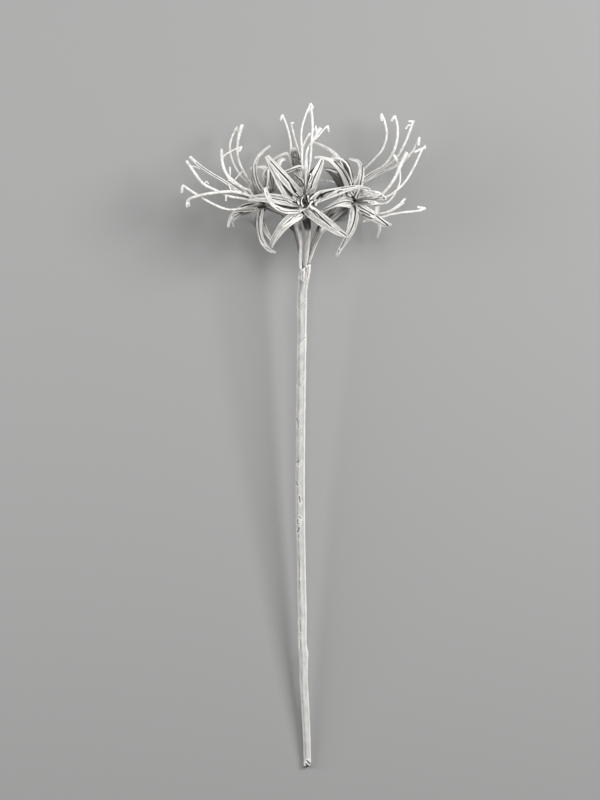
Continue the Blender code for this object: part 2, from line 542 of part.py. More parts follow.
def make_stem(collection, guides, material):
    """The taped stem: a slightly kinked tube with a spiral tape edge and a hollow cut end."""
    rows = [(-row, column) for row, column, _ in STEM_LINE]
    widths = [(-row, width) for row, _, width in STEM_LINE]
    points = []
    radii = []
    exact = [row for row, _, _ in STEM_LINE[-STEM_END_ROWS:]]
    count = STEM_RINGS - len(exact)
    spread = [FOOT_ROW + (exact[0] + 1 - FOOT_ROW) * index / (count - 1) for index in range(count)]
    for row in [*spread, *exact]:
        column = blend_list(rows, -row)
        length = (FOOT_ROW - row) * TRACE_STEP / MM
        points.append(place((column, row, STEM_FOOT_HEIGHT + STEM_RISE * length)))
        radii.append(blend_list(widths, -row) * TRACE_STEP / MM / 2)
    stem = round_wire("stem", points, radii, STEM_SIDES, guides)
    for vertex in stem.data.vertices:
        length = vertex.co.y / MM
        row = FOOT_ROW - vertex.co.y / TRACE_STEP
        if row < RECESS_ROW:
            continue
        centre = place((blend_list(rows, -row), row, STEM_FOOT_HEIGHT + STEM_RISE * length))
        outward = vertex.co - centre
        if row > FOOT_ROW - STEM_CUT_ZONE:
            back = outward.normalized().dot(Vector(FOOT_SLANT)) + FOOT_SETBACK
            vertex.co += Vector((0, 1, STEM_RISE)) * back * MM
            continue
        turn = math.atan2(outward.z, outward.x) / (2 * math.pi)
        phase = (length / SEAM_PITCH + turn) % 1.0
        vertex.co += outward.normalized() * SEAM_STEP * MM * (phase - 0.5)
    foot_column = STEM_LINE[0][1]
    start = place((foot_column, FOOT_ROW + STEM_BORE_RUNOUT, STEM_FOOT_HEIGHT))
    end = place((foot_column, FOOT_ROW, STEM_FOOT_HEIGHT)) + Vector((0, 1, STEM_RISE)) * STEM_BORE_DEPTH * MM
    bore = round_wire("stem_bore", [start, end], [STEM_BORE_RADIUS] * 2, 2, guides)
    cut = stem.modifiers.new("bore", "BOOLEAN")
    cut.operation = "DIFFERENCE"
    cut.object = bore
    made = evaluated_copy(stem, "stem", collection)
    bpy.data.objects.remove(bore, do_unlink=True)
    made.data.materials.clear()
    made.data.materials.append(material)
    plane_underside(made)
    return made


def make_neck_tape(collection, guides, material):
    """The tape that binds the pedicels to the stem: an open sleeve with a slanted upper edge."""
    columns = [(-row, column) for row, column, _ in NECK_LINE]
    widths = [(-row, width) for row, _, width in NECK_LINE]
    low_row, top_row = NECK_LINE[0][0], NECK_LINE[-1][0]
    shape = bmesh.new()
    bmesh.ops.create_grid(shape, x_segments=TAPE_SIDES, y_segments=TAPE_RINGS, size=1.0)
    for vertex in shape.verts:
        turn = (vertex.co.x + 1) * math.pi
        share = (vertex.co.y + 1) / 2
        slant = NECK_TOP_SLANT * MM / TRACE_STEP * (1 - math.cos(turn)) / 2 * share ** 4
        row = low_row + (top_row - low_row) * share + slant
        radius = blend_list(widths, -row) * TRACE_STEP / 2
        length = (FOOT_ROW - row) * TRACE_STEP / MM
        centre = place((blend_list(columns, -row), row, STEM_FOOT_HEIGHT + STEM_RISE * length))
        vertex.co = centre + Vector((math.cos(turn), 0, math.sin(turn))) * radius
    bmesh.ops.remove_doubles(shape, verts=shape.verts, dist=WELD_DISTANCE)
    bmesh.ops.recalc_face_normals(shape, faces=shape.faces)
    bmesh.ops.triangulate(shape, faces=shape.faces)
    mesh = bpy.data.meshes.new("neck_tape")
    shape.to_mesh(mesh)
    shape.free()
    sleeve = mesh_object("neck_tape", mesh, guides)
    solid = sleeve.modifiers.new("thickness", "SOLIDIFY")
    solid.thickness = TAPE_THICKNESS * MM
    solid.offset = -1.0
    made = evaluated_copy(sleeve, "neck_tape", collection)
    made.data.materials.append(material)
    return made


def make_pedicel(name, bloom, collection, material):
    """One flower stalk, thin in the neck and swollen into the ovary below its bloom."""
    points = [place(point) for point in bloom["pedicel"]]
    radii = [point[3] for point in bloom["pedicel"]]
    made = round_wire(name + "_pedicel", points, radii, PEDICEL_SIDES, collection)
    made.data.materials.append(material)
    return made


def make_perianth(name, bloom, collection, guides, material):
    """The tube of one bloom and the folded tepals that spring from its rim."""
    throat = place(bloom["throat"])
    axis = Vector(bloom["axis"]).normalized()
    last, end = place(bloom["pedicel"][-2]), place(bloom["pedicel"][-1])
    leave = (end - last).normalized()
    start = end + leave * SEAT_GAP * MM
    route = [start, start + leave * TUBE_FOOT_LENGTH * MM, *[place(point) for point in bloom["tube"]],
             throat - axis * TUBE_TOP_LENGTH * MM, throat - axis * TUBE_END * MM]
    radii = [*TUBE_FOOT_RADII, *[TUBE_WAIST_RADIUS] * len(bloom["tube"]), TUBE_RADIUS, TUBE_RADIUS]
    pieces = [round_wire(name + "_tube", route, radii, PEDICEL_SIDES, guides)]
    for index, stations in enumerate(bloom["tepals"]):
        left, top, right, low, height = stations[0]
        radial = radial_direction(throat, axis, place(((left + right) / 2, (top + low) / 2, height)))
        root = throat - axis * ROOT_DEPTH * MM + radial * ROOT_RADIUS * MM
        rim = throat + axis * RIM_RISE * MM + radial * RIM_RADIUS * MM
        edges = blade_edges(stations, root, rim, axis.cross(radial).normalized())
        pieces.append(folded_blade(f"{name}_tepal_{index}", edges, guides))
    return fuse(name + "_perianth", pieces, material, collection)


def make_stamens(name, bloom, collection, guides, material):
    """The taped filaments of one bloom, with hooked tips, on the small plug that seats in the throat."""
    throat = place(bloom["throat"])
    axis = Vector(bloom["axis"]).normalized()
    low = throat + axis * PLUG_START * MM
    pieces = [round_wire(name + "_plug", [low, low + axis * PLUG_LENGTH * MM],
                         [PLUG_RADIUS, PLUG_RADIUS * PLUG_TAPER], PEDICEL_SIDES, guides)]
    for index, (traced, anther) in enumerate(bloom["filaments"]):
        outer = [place(point) for point in traced]
        radial = radial_direction(throat, axis, outer[0])
        root = throat + radial * FILAMENT_ROOT_OFFSET * MM
        leave = throat + axis * FILAMENT_LEAVE[0] * MM + radial * FILAMENT_LEAVE[1] * MM
        route = smooth_route([root, leave, *outer], FILAMENT_SAMPLES)
        thick, thin = FILAMENT_TAPER
        shares = [step / (FILAMENT_SAMPLES - 1) for step in range(FILAMENT_SAMPLES)]
        radii = [FILAMENT_RADIUS * (thick + (thin - thick) * share) for share in shares]
        pieces.append(round_wire(f"{name}_filament_{index}", route, radii, FILAMENT_SIDES, guides))
        tip = [place(point) for point in anther]
        thickness = [ANTHER_RADIUS] * 2
        pieces.append(round_wire(f"{name}_anther_{index}", tip, thickness, FILAMENT_SIDES, guides))
    return fuse(name + "_stamens", pieces, material, collection)


def settle(nodes):
    """Bring the origin to the middle of the underside of the whole flower's box."""
    corners = [node.matrix_world @ vertex.co for node in nodes for vertex in node.data.vertices]
    low = Vector([min(corner[axis] for corner in corners) for axis in range(3)])
    high = Vector([max(corner[axis] for corner in corners) for axis in range(3)])
    middle = Vector(((low.x + high.x) / 2, (low.y + high.y) / 2, low.z))
    for node in nodes:
        for vertex in node.data.vertices:
            vertex.co -= middle


def main():
    """Build every node of the flower and settle it on its frame."""
    clear_scene()
    flower = make_collection("spider_lily")
    guides = make_collection("guides")
    materials = {name: make_material(name, colour) for name, colour in COLOURS.items()}
    nodes = [make_stem(flower, guides, materials["stem"])]
    nodes.append(make_neck_tape(flower, guides, materials["tape"]))
    for name, bloom in BLOOMS.items():
        nodes.append(make_pedicel(name, bloom, flower, materials["pedicel"]))
        perianth = make_perianth(name, bloom, flower, guides, materials["tepal"])
        if name.startswith("rear_"):
            plane_underside(perianth)
        nodes.append(perianth)
        nodes.append(make_stamens(name, bloom, flower, guides, materials["filament"]))
    settle(nodes)


main()
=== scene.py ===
# Paper spider lily, cut and lying down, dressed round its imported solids.
import math

import bmesh
import bpy
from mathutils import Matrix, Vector, noise


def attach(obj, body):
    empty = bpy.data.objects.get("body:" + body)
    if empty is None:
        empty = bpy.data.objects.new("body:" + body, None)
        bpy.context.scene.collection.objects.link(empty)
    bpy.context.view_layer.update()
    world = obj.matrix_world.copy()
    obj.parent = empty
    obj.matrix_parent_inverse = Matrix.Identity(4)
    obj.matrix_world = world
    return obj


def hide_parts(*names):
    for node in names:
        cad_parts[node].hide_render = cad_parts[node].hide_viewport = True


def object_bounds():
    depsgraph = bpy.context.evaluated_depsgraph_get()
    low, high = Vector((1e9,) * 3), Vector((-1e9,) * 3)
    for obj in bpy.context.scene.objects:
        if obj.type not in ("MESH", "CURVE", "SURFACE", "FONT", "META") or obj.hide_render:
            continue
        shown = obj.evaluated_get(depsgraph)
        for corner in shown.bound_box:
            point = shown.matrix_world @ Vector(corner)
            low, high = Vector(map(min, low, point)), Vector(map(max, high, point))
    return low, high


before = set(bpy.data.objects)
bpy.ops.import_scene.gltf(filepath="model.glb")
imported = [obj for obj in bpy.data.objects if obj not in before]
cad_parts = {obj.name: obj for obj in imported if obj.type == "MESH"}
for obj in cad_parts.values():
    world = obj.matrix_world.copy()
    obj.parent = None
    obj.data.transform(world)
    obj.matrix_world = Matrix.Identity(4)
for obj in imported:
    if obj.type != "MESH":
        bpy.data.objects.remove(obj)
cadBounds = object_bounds()
print("frame loaded")

mm = 0.001
tracing = {
    "step": 0.75 * mm,  # real size of one step of the tracing
    "axisColumn": 303,
    "footRow": 767,
    "settled": Vector((0.1212, 248.5535, 0)) * mm,  # how far the solids were moved to rest on their frame
}


def place(point):
    right, down, height = point[:3]
    flat = Vector((right - tracing["axisColumn"], tracing["footRow"] - down, 0)) * tracing["step"]
    return flat + Vector((0, 0, height * mm)) - tracing["settled"]


def blend(table, value):  # straight-line value between the rows of a table
    for (low, start), (high, end) in zip(table, table[1:]):
        if value <= high:
            return start + (end - start) * max(0.0, (value - low) / (high - low))
    return table[-1][1]


def fade(value, low, high):  # 0 below low, 1 above high, soft between
    share = min(1.0, max(0.0, (value - low) / (high - low)))
    return share * share * (3 - 2 * share)


curveSteps = 12  # between two given points of a smooth route


def smoothRoute(points, count):  # even run of points on one smooth curve through all the given ones
    ends = [points[0] * 2 - points[1], *points, points[-1] * 2 - points[-2]]
    fine = []
    for before, start, end, after in zip(ends, ends[1:], ends[2:], ends[3:]):
        bend = 2 * before - 5 * start + 4 * end - after
        twist = 3 * start - before - 3 * end + after
        for step in range(curveSteps):
            t = step / curveSteps
            fine.append((2 * start + (end - before) * t + bend * t ** 2 + twist * t ** 3) / 2)
    fine.append(points[-1])
    lengths = [0.0]
    for start, end in zip(fine, fine[1:]):
        lengths.append(lengths[-1] + (end - start).length)
    route = []
    segment = 0
    for index in range(count):
        target = lengths[-1] * index / (count - 1)
        while segment < len(fine) - 2 and lengths[segment + 1] < target:
            segment += 1
        span = lengths[segment + 1] - lengths[segment]
        share = min(1.0, max(0.0, (target - lengths[segment]) / span))
        route.append(fine[segment].lerp(fine[segment + 1], share))
    return route


# shader sums written as Python
class Wire:  # one socket of a material
    def __init__(self, paint, socket):
        self.paint = paint
        self.socket = socket

    def sum(self, operation, first, second):
        return self.paint.node("Math", {"operation": operation}, {0: first, 1: second})

    def __add__(self, other):
        return self.sum("ADD", self, other)

    def __radd__(self, other):
        return self.sum("ADD", other, self)

    def __sub__(self, other):
        return self.sum("SUBTRACT", self, other)

    def __rsub__(self, other):
        return self.sum("SUBTRACT", other, self)

    def __mul__(self, other):
        return self.sum("MULTIPLY", self, other)

    def __rmul__(self, other):
        return self.sum("MULTIPLY", other, self)


class Paint:  # a material while it is made
    def __init__(self, name):
        self.material = bpy.data.materials.new(name)
        self.material.use_nodes = True
        self.tree = self.material.node_tree
        self.shader = self.tree.nodes["Principled BSDF"]

    def feed(self, socket, value):
        if isinstance(value, Wire):
            self.tree.links.new(value.socket, socket)
        else:
            socket.default_value = value

    def node(self, kind, settings, sockets, output=0):
        made = self.tree.nodes.new("ShaderNode" + kind)
        for key, value in settings.items():
            setattr(made, key, value)
        for key, value in sockets.items():
            self.feed(made.inputs[key], value)
        return Wire(self, made.outputs[output])

    def mix(self, share, first, second):  # between two colours
        return self.node("Mix", {"data_type": "RGBA"}, {0: share, 6: first, 7: second}, 2)

    def noise(self, where, scale, detail, rough):
        sockets = {"Vector": where, "Scale": scale, "Detail": detail, "Roughness": rough}
        return self.node("TexNoise", {}, sockets)

    def stretched(self, where, scale):
        return self.node("Mapping", {}, {"Vector": where, "Scale": scale})

    def attribute(self, name):
        return self.node("Attribute", {"attribute_name": name}, {}, "Fac")


paperLook = {
    "pale": (0.93, 0.91, 0.87, 1),
    # the tone runs from shade to pale; the near-black below it is laid on as painted shade and streaks
    "shade": (0.012, 0.011, 0.010, 1),
    "ink": (0.012, 0.011, 0.010, 1),
    # detail and roughness of each cloud, how far it moves the tone, and its scale
    "fibreForm": (4.0, 0.6),
    "fibreStretch": (16, 2.2, 1),
    "fibreDepth": 0.22,
    "stainForm": (3.0, 0.55),
    "stainScale": 160.0,
    "stainDepth": 0.2,
    "speckForm": (2.0, 0.7),
    "speckScale": 1400.0,
    "speckDepth": 0.12,
    "levels": (0.03, 1.0),
    "toneCurve": 2.2,  # tones are as the eye reads them
    "roughness": (0.7, 0.3),  # its middle, and how far the stains move it
    "specular": 0.35,
    "fibreRelief": 0.8,
    "speckRelief": 0.25,
    "reliefDepth": 0.25 * mm,
}


def paperPaint(name, look):
    # matt paper: tone, with painted light and shade in it, and a near-black layer of painted shade and
    # streaks come from the piece, fibres and stains from its own coordinates
    paint = Paint(name)
    here = paint.node("TexCoord", {}, {}, "Object")
    along = paint.node("UVMap", {"uv_map": "along"}, {})
    fibres = paint.noise(paint.stretched(along, look["fibreStretch"]), 1.0, *look["fibreForm"])
    stains = paint.noise(here, look["stainScale"], *look["stainForm"])
    specks = paint.noise(here, look["speckScale"], *look["speckForm"])
    level = paint.attribute("tone")
    for layer, depth in ((fibres, "fibreDepth"), (stains, "stainDepth"), (specks, "speckDepth")):
        level = level + (layer - 0.5) * look[depth]
    lowest, highest = look["levels"]
    level = paint.node("Clamp", {}, {"Value": level, "Min": lowest, "Max": highest})
    level = paint.node("Math", {"operation": "POWER"}, {0: level, 1: look["toneCurve"]})
    sheet = paint.mix(level, look["shade"], look["pale"])
    # painted shade and streaks laid over the sheet
    shadedSheet = paint.mix(paint.attribute("ink"), sheet, look["ink"])
    middle, spread = look["roughness"]
    relief = fibres * look["fibreRelief"] + specks * look["speckRelief"]
    bump = paint.node("Bump", {}, {"Height": relief, "Distance": look["reliefDepth"], "Strength": 1.0})
    for socket, value in (("Base Color", shadedSheet), ("Roughness", middle + (stains - 0.5) * spread),
                          ("Normal", bump), ("Specular IOR Level", look["specular"])):
        paint.feed(paint.shader.inputs[socket], value)
    return paint.material


stemPaint = paperPaint("woundStemPaper", {**paperLook, "fibreStretch": (9, 36, 1), "fibreDepth": 0.24})
tapePaint = paperPaint("neckTapePaper", {**paperLook, "fibreStretch": (8, 6, 1), "fibreDepth": 0.26})
stalkPaint = paperPaint("stalkPaper", {**paperLook, "fibreStretch": (10, 3, 1), "fibreDepth": 0.4})
tepalPaint = paperPaint("foldedPaper", paperLook)
wirePaint = paperPaint("tapedWire", {**paperLook, "fibreStretch": (3, 26, 1), "fibreDepth": 0.26})
print("paper finishes made")


# shared making of sheets and tubes
making = {
    "weld": 0.002 * mm,
    "sharp": 48,  # degrees
    # shares of a tube's radius: how far the tip and the last ring of its end reach, and that ring's width
    "tubeEnd": (0.42, 0.34),
    "tubeEndWidth": 0.72,
}


def newShape():
    shape = bmesh.new()
    shape.loops.layers.uv.new("along")
    # tone: the paper's brightness, with painted light and shade in it; the second layer: painted shade and
    # streaks
    tone = shape.verts.layers.float.new("tone")
    ink = shape.verts.layers.float.new("ink")
    return shape, tone, ink


def finishPiece(name, shape, material, node, thickness=0.0, sharp=making["sharp"]):
    bmesh.ops.remove_doubles(shape, verts=shape.verts, dist=making["weld"])
    low, high = cadBounds
    trim = thickness / 2
    for vertex in shape.verts:  # no finer surface passes the box of the solids
        vertex.co = [min(top - trim, max(bottom + trim, at))
                     for at, bottom, top in zip(vertex.co, low, high)]
    if not thickness:
        bmesh.ops.recalc_face_normals(shape, faces=shape.faces)
    mesh = bpy.data.meshes.new(name)
    shape.to_mesh(mesh)
    shape.free()
    piece = bpy.data.objects.new(name, mesh)
    bpy.context.scene.collection.objects.link(piece)
    if thickness:
        solid = piece.modifiers.new("sheetThickness", "SOLIDIFY")
        solid.thickness = thickness
        solid.offset = 0.0
        bpy.context.view_layer.update()
        graph = bpy.context.evaluated_depsgraph_get()
        mesh = bpy.data.meshes.new_from_object(piece.evaluated_get(graph))
        piece.modifiers.clear()
        piece.data = mesh
    for face in mesh.polygons:
        face.use_smooth = True
    mesh.set_sharp_from_angle(angle=math.radians(sharp))
    mesh.materials.clear()
    mesh.materials.append(material)
    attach(piece, "root")
    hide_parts(node)
    print(name, len(mesh.polygons), "faces")


def addGrid(shape, columns, rows):
    return bmesh.ops.create_grid(
        shape, x_segments=columns, y_segments=rows, size=1.0, calc_uvs=True)["verts"]


def rings(points):  # a direction along and two across for each point of a route
    frames = []
    across = None
    for index, point in enumerate(points):
        ahead = (points[min(index + 1, len(points) - 1)] - points[max(index - 1, 0)]).normalized()
        across = ahead.orthogonal() if across is None else across - ahead * across.dot(ahead)
        across.normalize()
        frames.append((point, ahead, across.copy(), ahead.cross(across)))
    return frames


def addTube(shape, tone, ink, points, radii, sides, surface):
    # a tube with closed, rounded ends; surface(share, outward, length) gives extra radius, tone and painted
    # shade
    first, last = (points[0] - points[1]).normalized(), (points[-1] - points[-2]).normalized()
    reaches, width = making["tubeEnd"], making["tubeEndWidth"]
    path = [points[0] + first * radii[0] * reach for reach in reaches] + list(points)
    path += [points[-1] + last * radii[-1] * reach for reach in reversed(reaches)]
    sizes = [0.0, radii[0] * width, *radii, radii[-1] * width, 0.0]
    frames = rings(path)
    lengths = [0.0]
    for start, end in zip(path, path[1:]):
        lengths.append(lengths[-1] + (end - start).length)
    for vertex in addGrid(shape, sides, len(path) - 1):
        row = round((vertex.co.y + 1) / 2 * (len(path) - 1))
        turn = (vertex.co.x + 1) / 2
        angle = turn * 2 * math.pi
        point, _, left, up = frames[row]
        outward = left * math.cos(angle) + up * math.sin(angle)
        extra, vertex[tone], vertex[ink] = surface(lengths[row] / lengths[-1], outward, lengths[row] / mm)
        vertex.co = point + outward * (sizes[row] + extra * mm * min(1.0, sizes[row] / mm))


def traced(point):  # column and row of a place in the tracing
    spot = point + tracing["settled"]
    return tracing["axisColumn"] + spot.x / tracing["step"], tracing["footRow"] - spot.y / tracing["step"]


marking = {
    "reach": 6,  # tracing steps beyond which a mark does nothing
    "edge": (0.5, 1.5),  # shares of its half width between which it fades
    "full": 0.65,  # strength above which it is a crease
    "widen": 1.45,  # a crease against its traced width, which the photo's light narrows
    "lip": 0.22,  # painted highlight beside a full crease
    "lipPlace": 0.55,  # tracing steps outside the crease
    "lipEdge": (0.25, 0.7),
}


def asMarks(rows):
    # a mark is listed as its strength, above 0 painted shade of a crease or gap, below 0 a painted
    # highlight, its half width at the start and at the end, in tracing steps, and its traced places as
    # column, row, column, row and so on
    return [(strength, wide, narrow, list(zip(places[::2], places[1::2])))
            for strength, wide, narrow, *places in rows]


def markedAt(column, row, marks):
    # painted shade and painted highlights that the traced lines give to one place
    dark, bright = 0.0, 0.0
    for strength, wide, narrow, route in marks:
        widen = marking["widen"] if strength > marking["full"] else 1
        for index, ((startColumn, startRow), (endColumn, endRow)) in enumerate(zip(route, route[1:])):
            along, down = endColumn - startColumn, endRow - startRow
            right, below = column - startColumn, row - startRow
            share = (right * along + below * down) / (along * along + down * down)
            share = min(1.0, max(0.0, share))
            gap = math.hypot(right - along * share, below - down * share)
            if gap > marking["reach"]:
                continue
            half = (wide + (narrow - wide) * (index + share) / (len(route) - 1)) * widen
            pull = 1 - fade(gap / half, *marking["edge"])
            if strength < 0:
                bright = max(bright, -strength * pull)
            else:
                dark = max(dark, strength * pull)
                lip = 1 - fade(abs(gap - half - marking["lipPlace"]), *marking["lipEdge"])
                bright = max(bright, marking["lip"] * strength * lip)
    return dark, bright


def columnAt(x):  # column of a place by its metres across
    return tracing["axisColumn"] + (x + tracing["settled"].x) / tracing["step"]


# stem
stem = {
    "footHeight": 2.5,
    "rise": 0.125,
    "sides": 44,
    "footRings": (50, 0.2),  # how many, and tracing steps between them
    # first row, last row and how many rings: up to the neck, its shoulder, and hidden in the neck
    "ringRows": [(756.5, 309.2, 620), (308.95, 308.95, 1), (308.5, 279.5, 25)],
    "plainRow": 312,  # above this row the neck's tape flattens the stem
    "plainShare": 0.2,
    # row, column of the centre, width in tracing steps
    "line": [
        (767, 307.4, 7.4), (740, 306.8, 7.8), (710, 305.4, 8.1), (682, 303.7, 8.3), (670, 303.6, 8.6),
        (657, 303.6, 9.1), (651, 303.1, 9.0), (645, 302.4, 8.9), (618, 302.3, 9.2), (590, 301.8, 9.0),
        (550, 301.0, 8.9), (520, 300.4, 9.4), (482, 300.1, 9.7), (450, 300.5, 9.2), (420, 300.6, 9.6),
        (380, 301.3, 9.3), (340, 301.8, 9.4), (309.2, 302.0, 9.7), (308.95, 302.0, 7.6), (296, 302.1, 7.2),
        (287, 302.6, 6.6), (279.5, 303.6, 6.2),
    ],
    "seams": [800, 768, 729, 697, 668, 641, 612, 581, 547, 518, 489, 462, 436, 409, 376, 341, 305, 270],
    "seamTurn": (0.25, 0.8),  # turn at which the listed rows hold, and how much of a pitch one turn takes
    "tapeStep": 0.2,
    "tapeLeast": 0.25,  # share of that step where the tape's edge is faint
    # painted light and shade that follow the tape's step: darker where each wind lies low, lighter up to
    # its edge
    "tapeTone": 0.05,
    # strength of the tape's edge from the neck down
    "seamStrength": [(-620, 0.0), (-520, 0.12), (-470, 0.3), (-420, 0.55), (-400, 1.0), (-300, 1.0)],
    # painted shade in creases and in the slot of the torn foot; below 0, painted highlights
    "marks": [(0.55, 0.35, 0.35, 298, 345, 301, 342, 305, 337), (0.5, 0.3, 0.3, 299, 379.3, 304, 373.3),
        (0.6, 0.35, 0.35, 297, 383, 299.2, 387.3, 303, 382.3), (0.35, 0.3, 0.3, 296.6, 409.5, 301, 412.7),
        (0.5, 0.7, 0.4, 296.6, 418, 298, 423, 299, 428), (0.35, 0.5, 0.4, 297.5, 438.5, 300.5, 439.2),
        (0.45, 1.3, 0.4, 296.5, 462, 300.4, 460.8), (0.6, 0.5, 0.4, 297, 461, 298.3, 465.3),
        (0.7, 0.5, 0.4, 295.8, 482, 298, 485.5), (-0.2, 0.5, 0.4, 296.2, 480.8, 297.6, 483),
        (0.75, 0.5, 0.4, 299.2, 496.5, 300.2, 503), (0.75, 0.45, 0.4, 299, 516.7, 301, 519),
        (0.55, 0.5, 0.4, 297, 520, 296.8, 523.6, 299.8, 523.8), (0.75, 0.5, 0.4, 299.5, 528, 297, 532),
        (0.6, 0.4, 0.4, 298.6, 535, 298.4, 539), (-0.25, 0.7, 0.7, 299.8, 579.2, 300.4, 580),
        (0.3, 0.7, 0.6, 299.3, 563, 299.5, 590), (0.4, 0.8, 0.6, 300.2, 620, 300.6, 632),
        (0.4, 0.8, 0.6, 300.6, 640, 300.6, 650), (1.0, 0.5, 0.6, 307, 761.8, 308.5, 763.4, 310.4, 765.2),
        (1.0, 0.4, 0.4, 305.5, 765.1, 307.2, 766.6), (-0.25, 0.7, 0.7, 309, 760, 311, 763),
        (-0.2, 0.6, 0.6, 304.3, 763, 304.3, 766.5)],
    # row, column, depth in mm, half length and half width in tracing steps
    "dents": [
        (461, 298, 0.4, 3, 2), (483, 295.6, 0.5, 3, 1.2), (499, 299.6, 0.4, 5, 0.7),
        (517, 300, 0.3, 2.5, 0.8), (522, 297.2, 0.35, 2.5, 0.8), (530, 298.2, 0.4, 3, 1.2),
        (537, 298.6, 0.3, 3, 0.7), (579, 300, -0.3, 3, 2), (629, 300, 0.35, 3, 0.8),
        (645, 300.6, 0.4, 4, 0.8), (653, 308.4, -0.45, 4, 1.6), (385, 299.6, 0.35, 3, 1.4),
        (409, 298, 0.35, 3.5, 1.2), (341, 301, 0.15, 2, 2),
    ],
    "dentReach": 6,
    # painted shade in each dent: its strength and how fast it fades
    "dentShade": 0.3,
    "dentShadeEdge": 1.6,
    "seenFrom": -0.2,  # lowest slope of the surface that takes marks and dents
    "markDepth": 0.25,
    # a painted shadow line along each edge of the tape
    "seamWidth": 0.02,
    "seamShadow": 0.6,
    "seamPatches": (0.2, 0.5),  # least strength of the line, and what a patch adds
    "patchGrain": (1.7, 0.11, 3),
    # darkest painted shade on the stem
    "mostShade": 0.9,
    # height in mm of each size of wrinkle, how fine it is across and along, and how far it slants
    "wrinkles": [(0.10, 1.4, 0.06, 0), (0.05, 3.5, 0.22, 2)],
    "boreRadius": 1.85,
    # rings of the hollow: share of its radius and mm from the cut end
    "bore": [(0.0, 14.0), (1.0, 14.0), (1.0, 8.0), (1.0, 4.0), (1.02, 2.0), (1.06, 0.6)],
    # brightness of its wall, falling deeper in as painted shade: at the mouth, how much it falls, and the
    # mm between which it does
    "boreTone": (0.95, 0.5, 0.5, 3.0),
    # painted shade in the hollow, from one depth in mm to the other
    "boreShade": (0.5, 2.2),
    "topTone": 0.6,
    "sharp": 60,
    "cutSlant": Vector((0.3, 0.0, 0.1)),
    "cutSetback": 0.25,
    "cutRows": (763.5, 766.6),
    "cutDepth": 6,  # mm into the hollow that the slant reaches
    "ragged": 0.35,
    "raggedGrain": (2.2, 7),
    # the torn end: direction in degrees, half width, mm that it is set back
    "torn": [(252, 13, 1.0), (222, 20, -0.3), (300, 18, -0.2), (20, 26, 0.6), (141, 14, -0.5),
             (53, 12, -0.7), (96, 13, 0.5)],
}
# painted light round the stem: a painted highlight on the right edge and a faint one on the left, painted
# shade in a grey band left of the middle and in a thin line inside the right edge
stemToneAndPaintedLight = {
    "base": 0.8,
    "cloud": (5, 0.12, 3),  # how fine it is across, along and in depth
    "lowRows": (540, 600),  # the lower part begins between these rows
    "lowLift": 0.05,
    "grey": (-0.52, 0.17, 0.13),  # place across, half width, strength
    "greyShift": 0.12,
    "greyGrain": (0.12, 0.1),  # and what the lower part adds
    "right": (0.66, 0.78, 0.2),  # from, to, brightness
    "rightLine": (0.58, 0.06, 0.05),  # place across, half width, strength
    "left": (0.8, 0.92, 0.06),
    "grain": 0.04,
}
columnsOfStem = [(-row, column) for row, column, _ in stem["line"]]
widthsOfStem = [(-row, width) for row, _, width in stem["line"]]
seamTurns = [(-row, index) for index, row in enumerate(stem["seams"])]


def stemCentre(row):
    length = (tracing["footRow"] - row) * tracing["step"] / mm
    return place((blend(columnsOfStem, -row), row, stem["footHeight"] + stem["rise"] * length))


def bell(value, middle, wide):  # 1 at the middle, falling off to both sides
    return math.exp(-((value - middle) / wide) ** 2)


# the stem's tone with its painted highlights and painted shade; the neck's tape takes it too
def stemToneWithPaintedLight(outward, row):
    side = outward.x
    wide, tall, deep = stemToneAndPaintedLight["cloud"]
    grain = noise.noise(Vector((side * wide, row * tall, outward.z * deep)))
    low = fade(row, *stemToneAndPaintedLight["lowRows"])
    middle, wide, strength = stemToneAndPaintedLight["grey"]
    plain, added = stemToneAndPaintedLight["greyGrain"]
    middle += stemToneAndPaintedLight["greyShift"] * low
    grey = bell(side, middle, wide) * (strength + (plain + added * low) * grain)
    start, end, bright = stemToneAndPaintedLight["right"]
    linePlace, lineWidth, line = stemToneAndPaintedLight["rightLine"]
    pale = fade(side, start, end) * bright - line * bell(side, linePlace, lineWidth)
    start, end, bright = stemToneAndPaintedLight["left"]
    lit = stemToneAndPaintedLight["base"] + stemToneAndPaintedLight["lowLift"] * low - grey + pale
    return lit + bright * fade(-side, start, end) + stemToneAndPaintedLight["grain"] * grain


def wound(row, outward):  # where this place is between two edges of the tape, 0 to 1
    start, pitch = stem["seamTurn"]
    turn = math.atan2(outward.z, outward.x) / (2 * math.pi) - start
    return (blend(seamTurns, -row) + turn * pitch) % 1.0


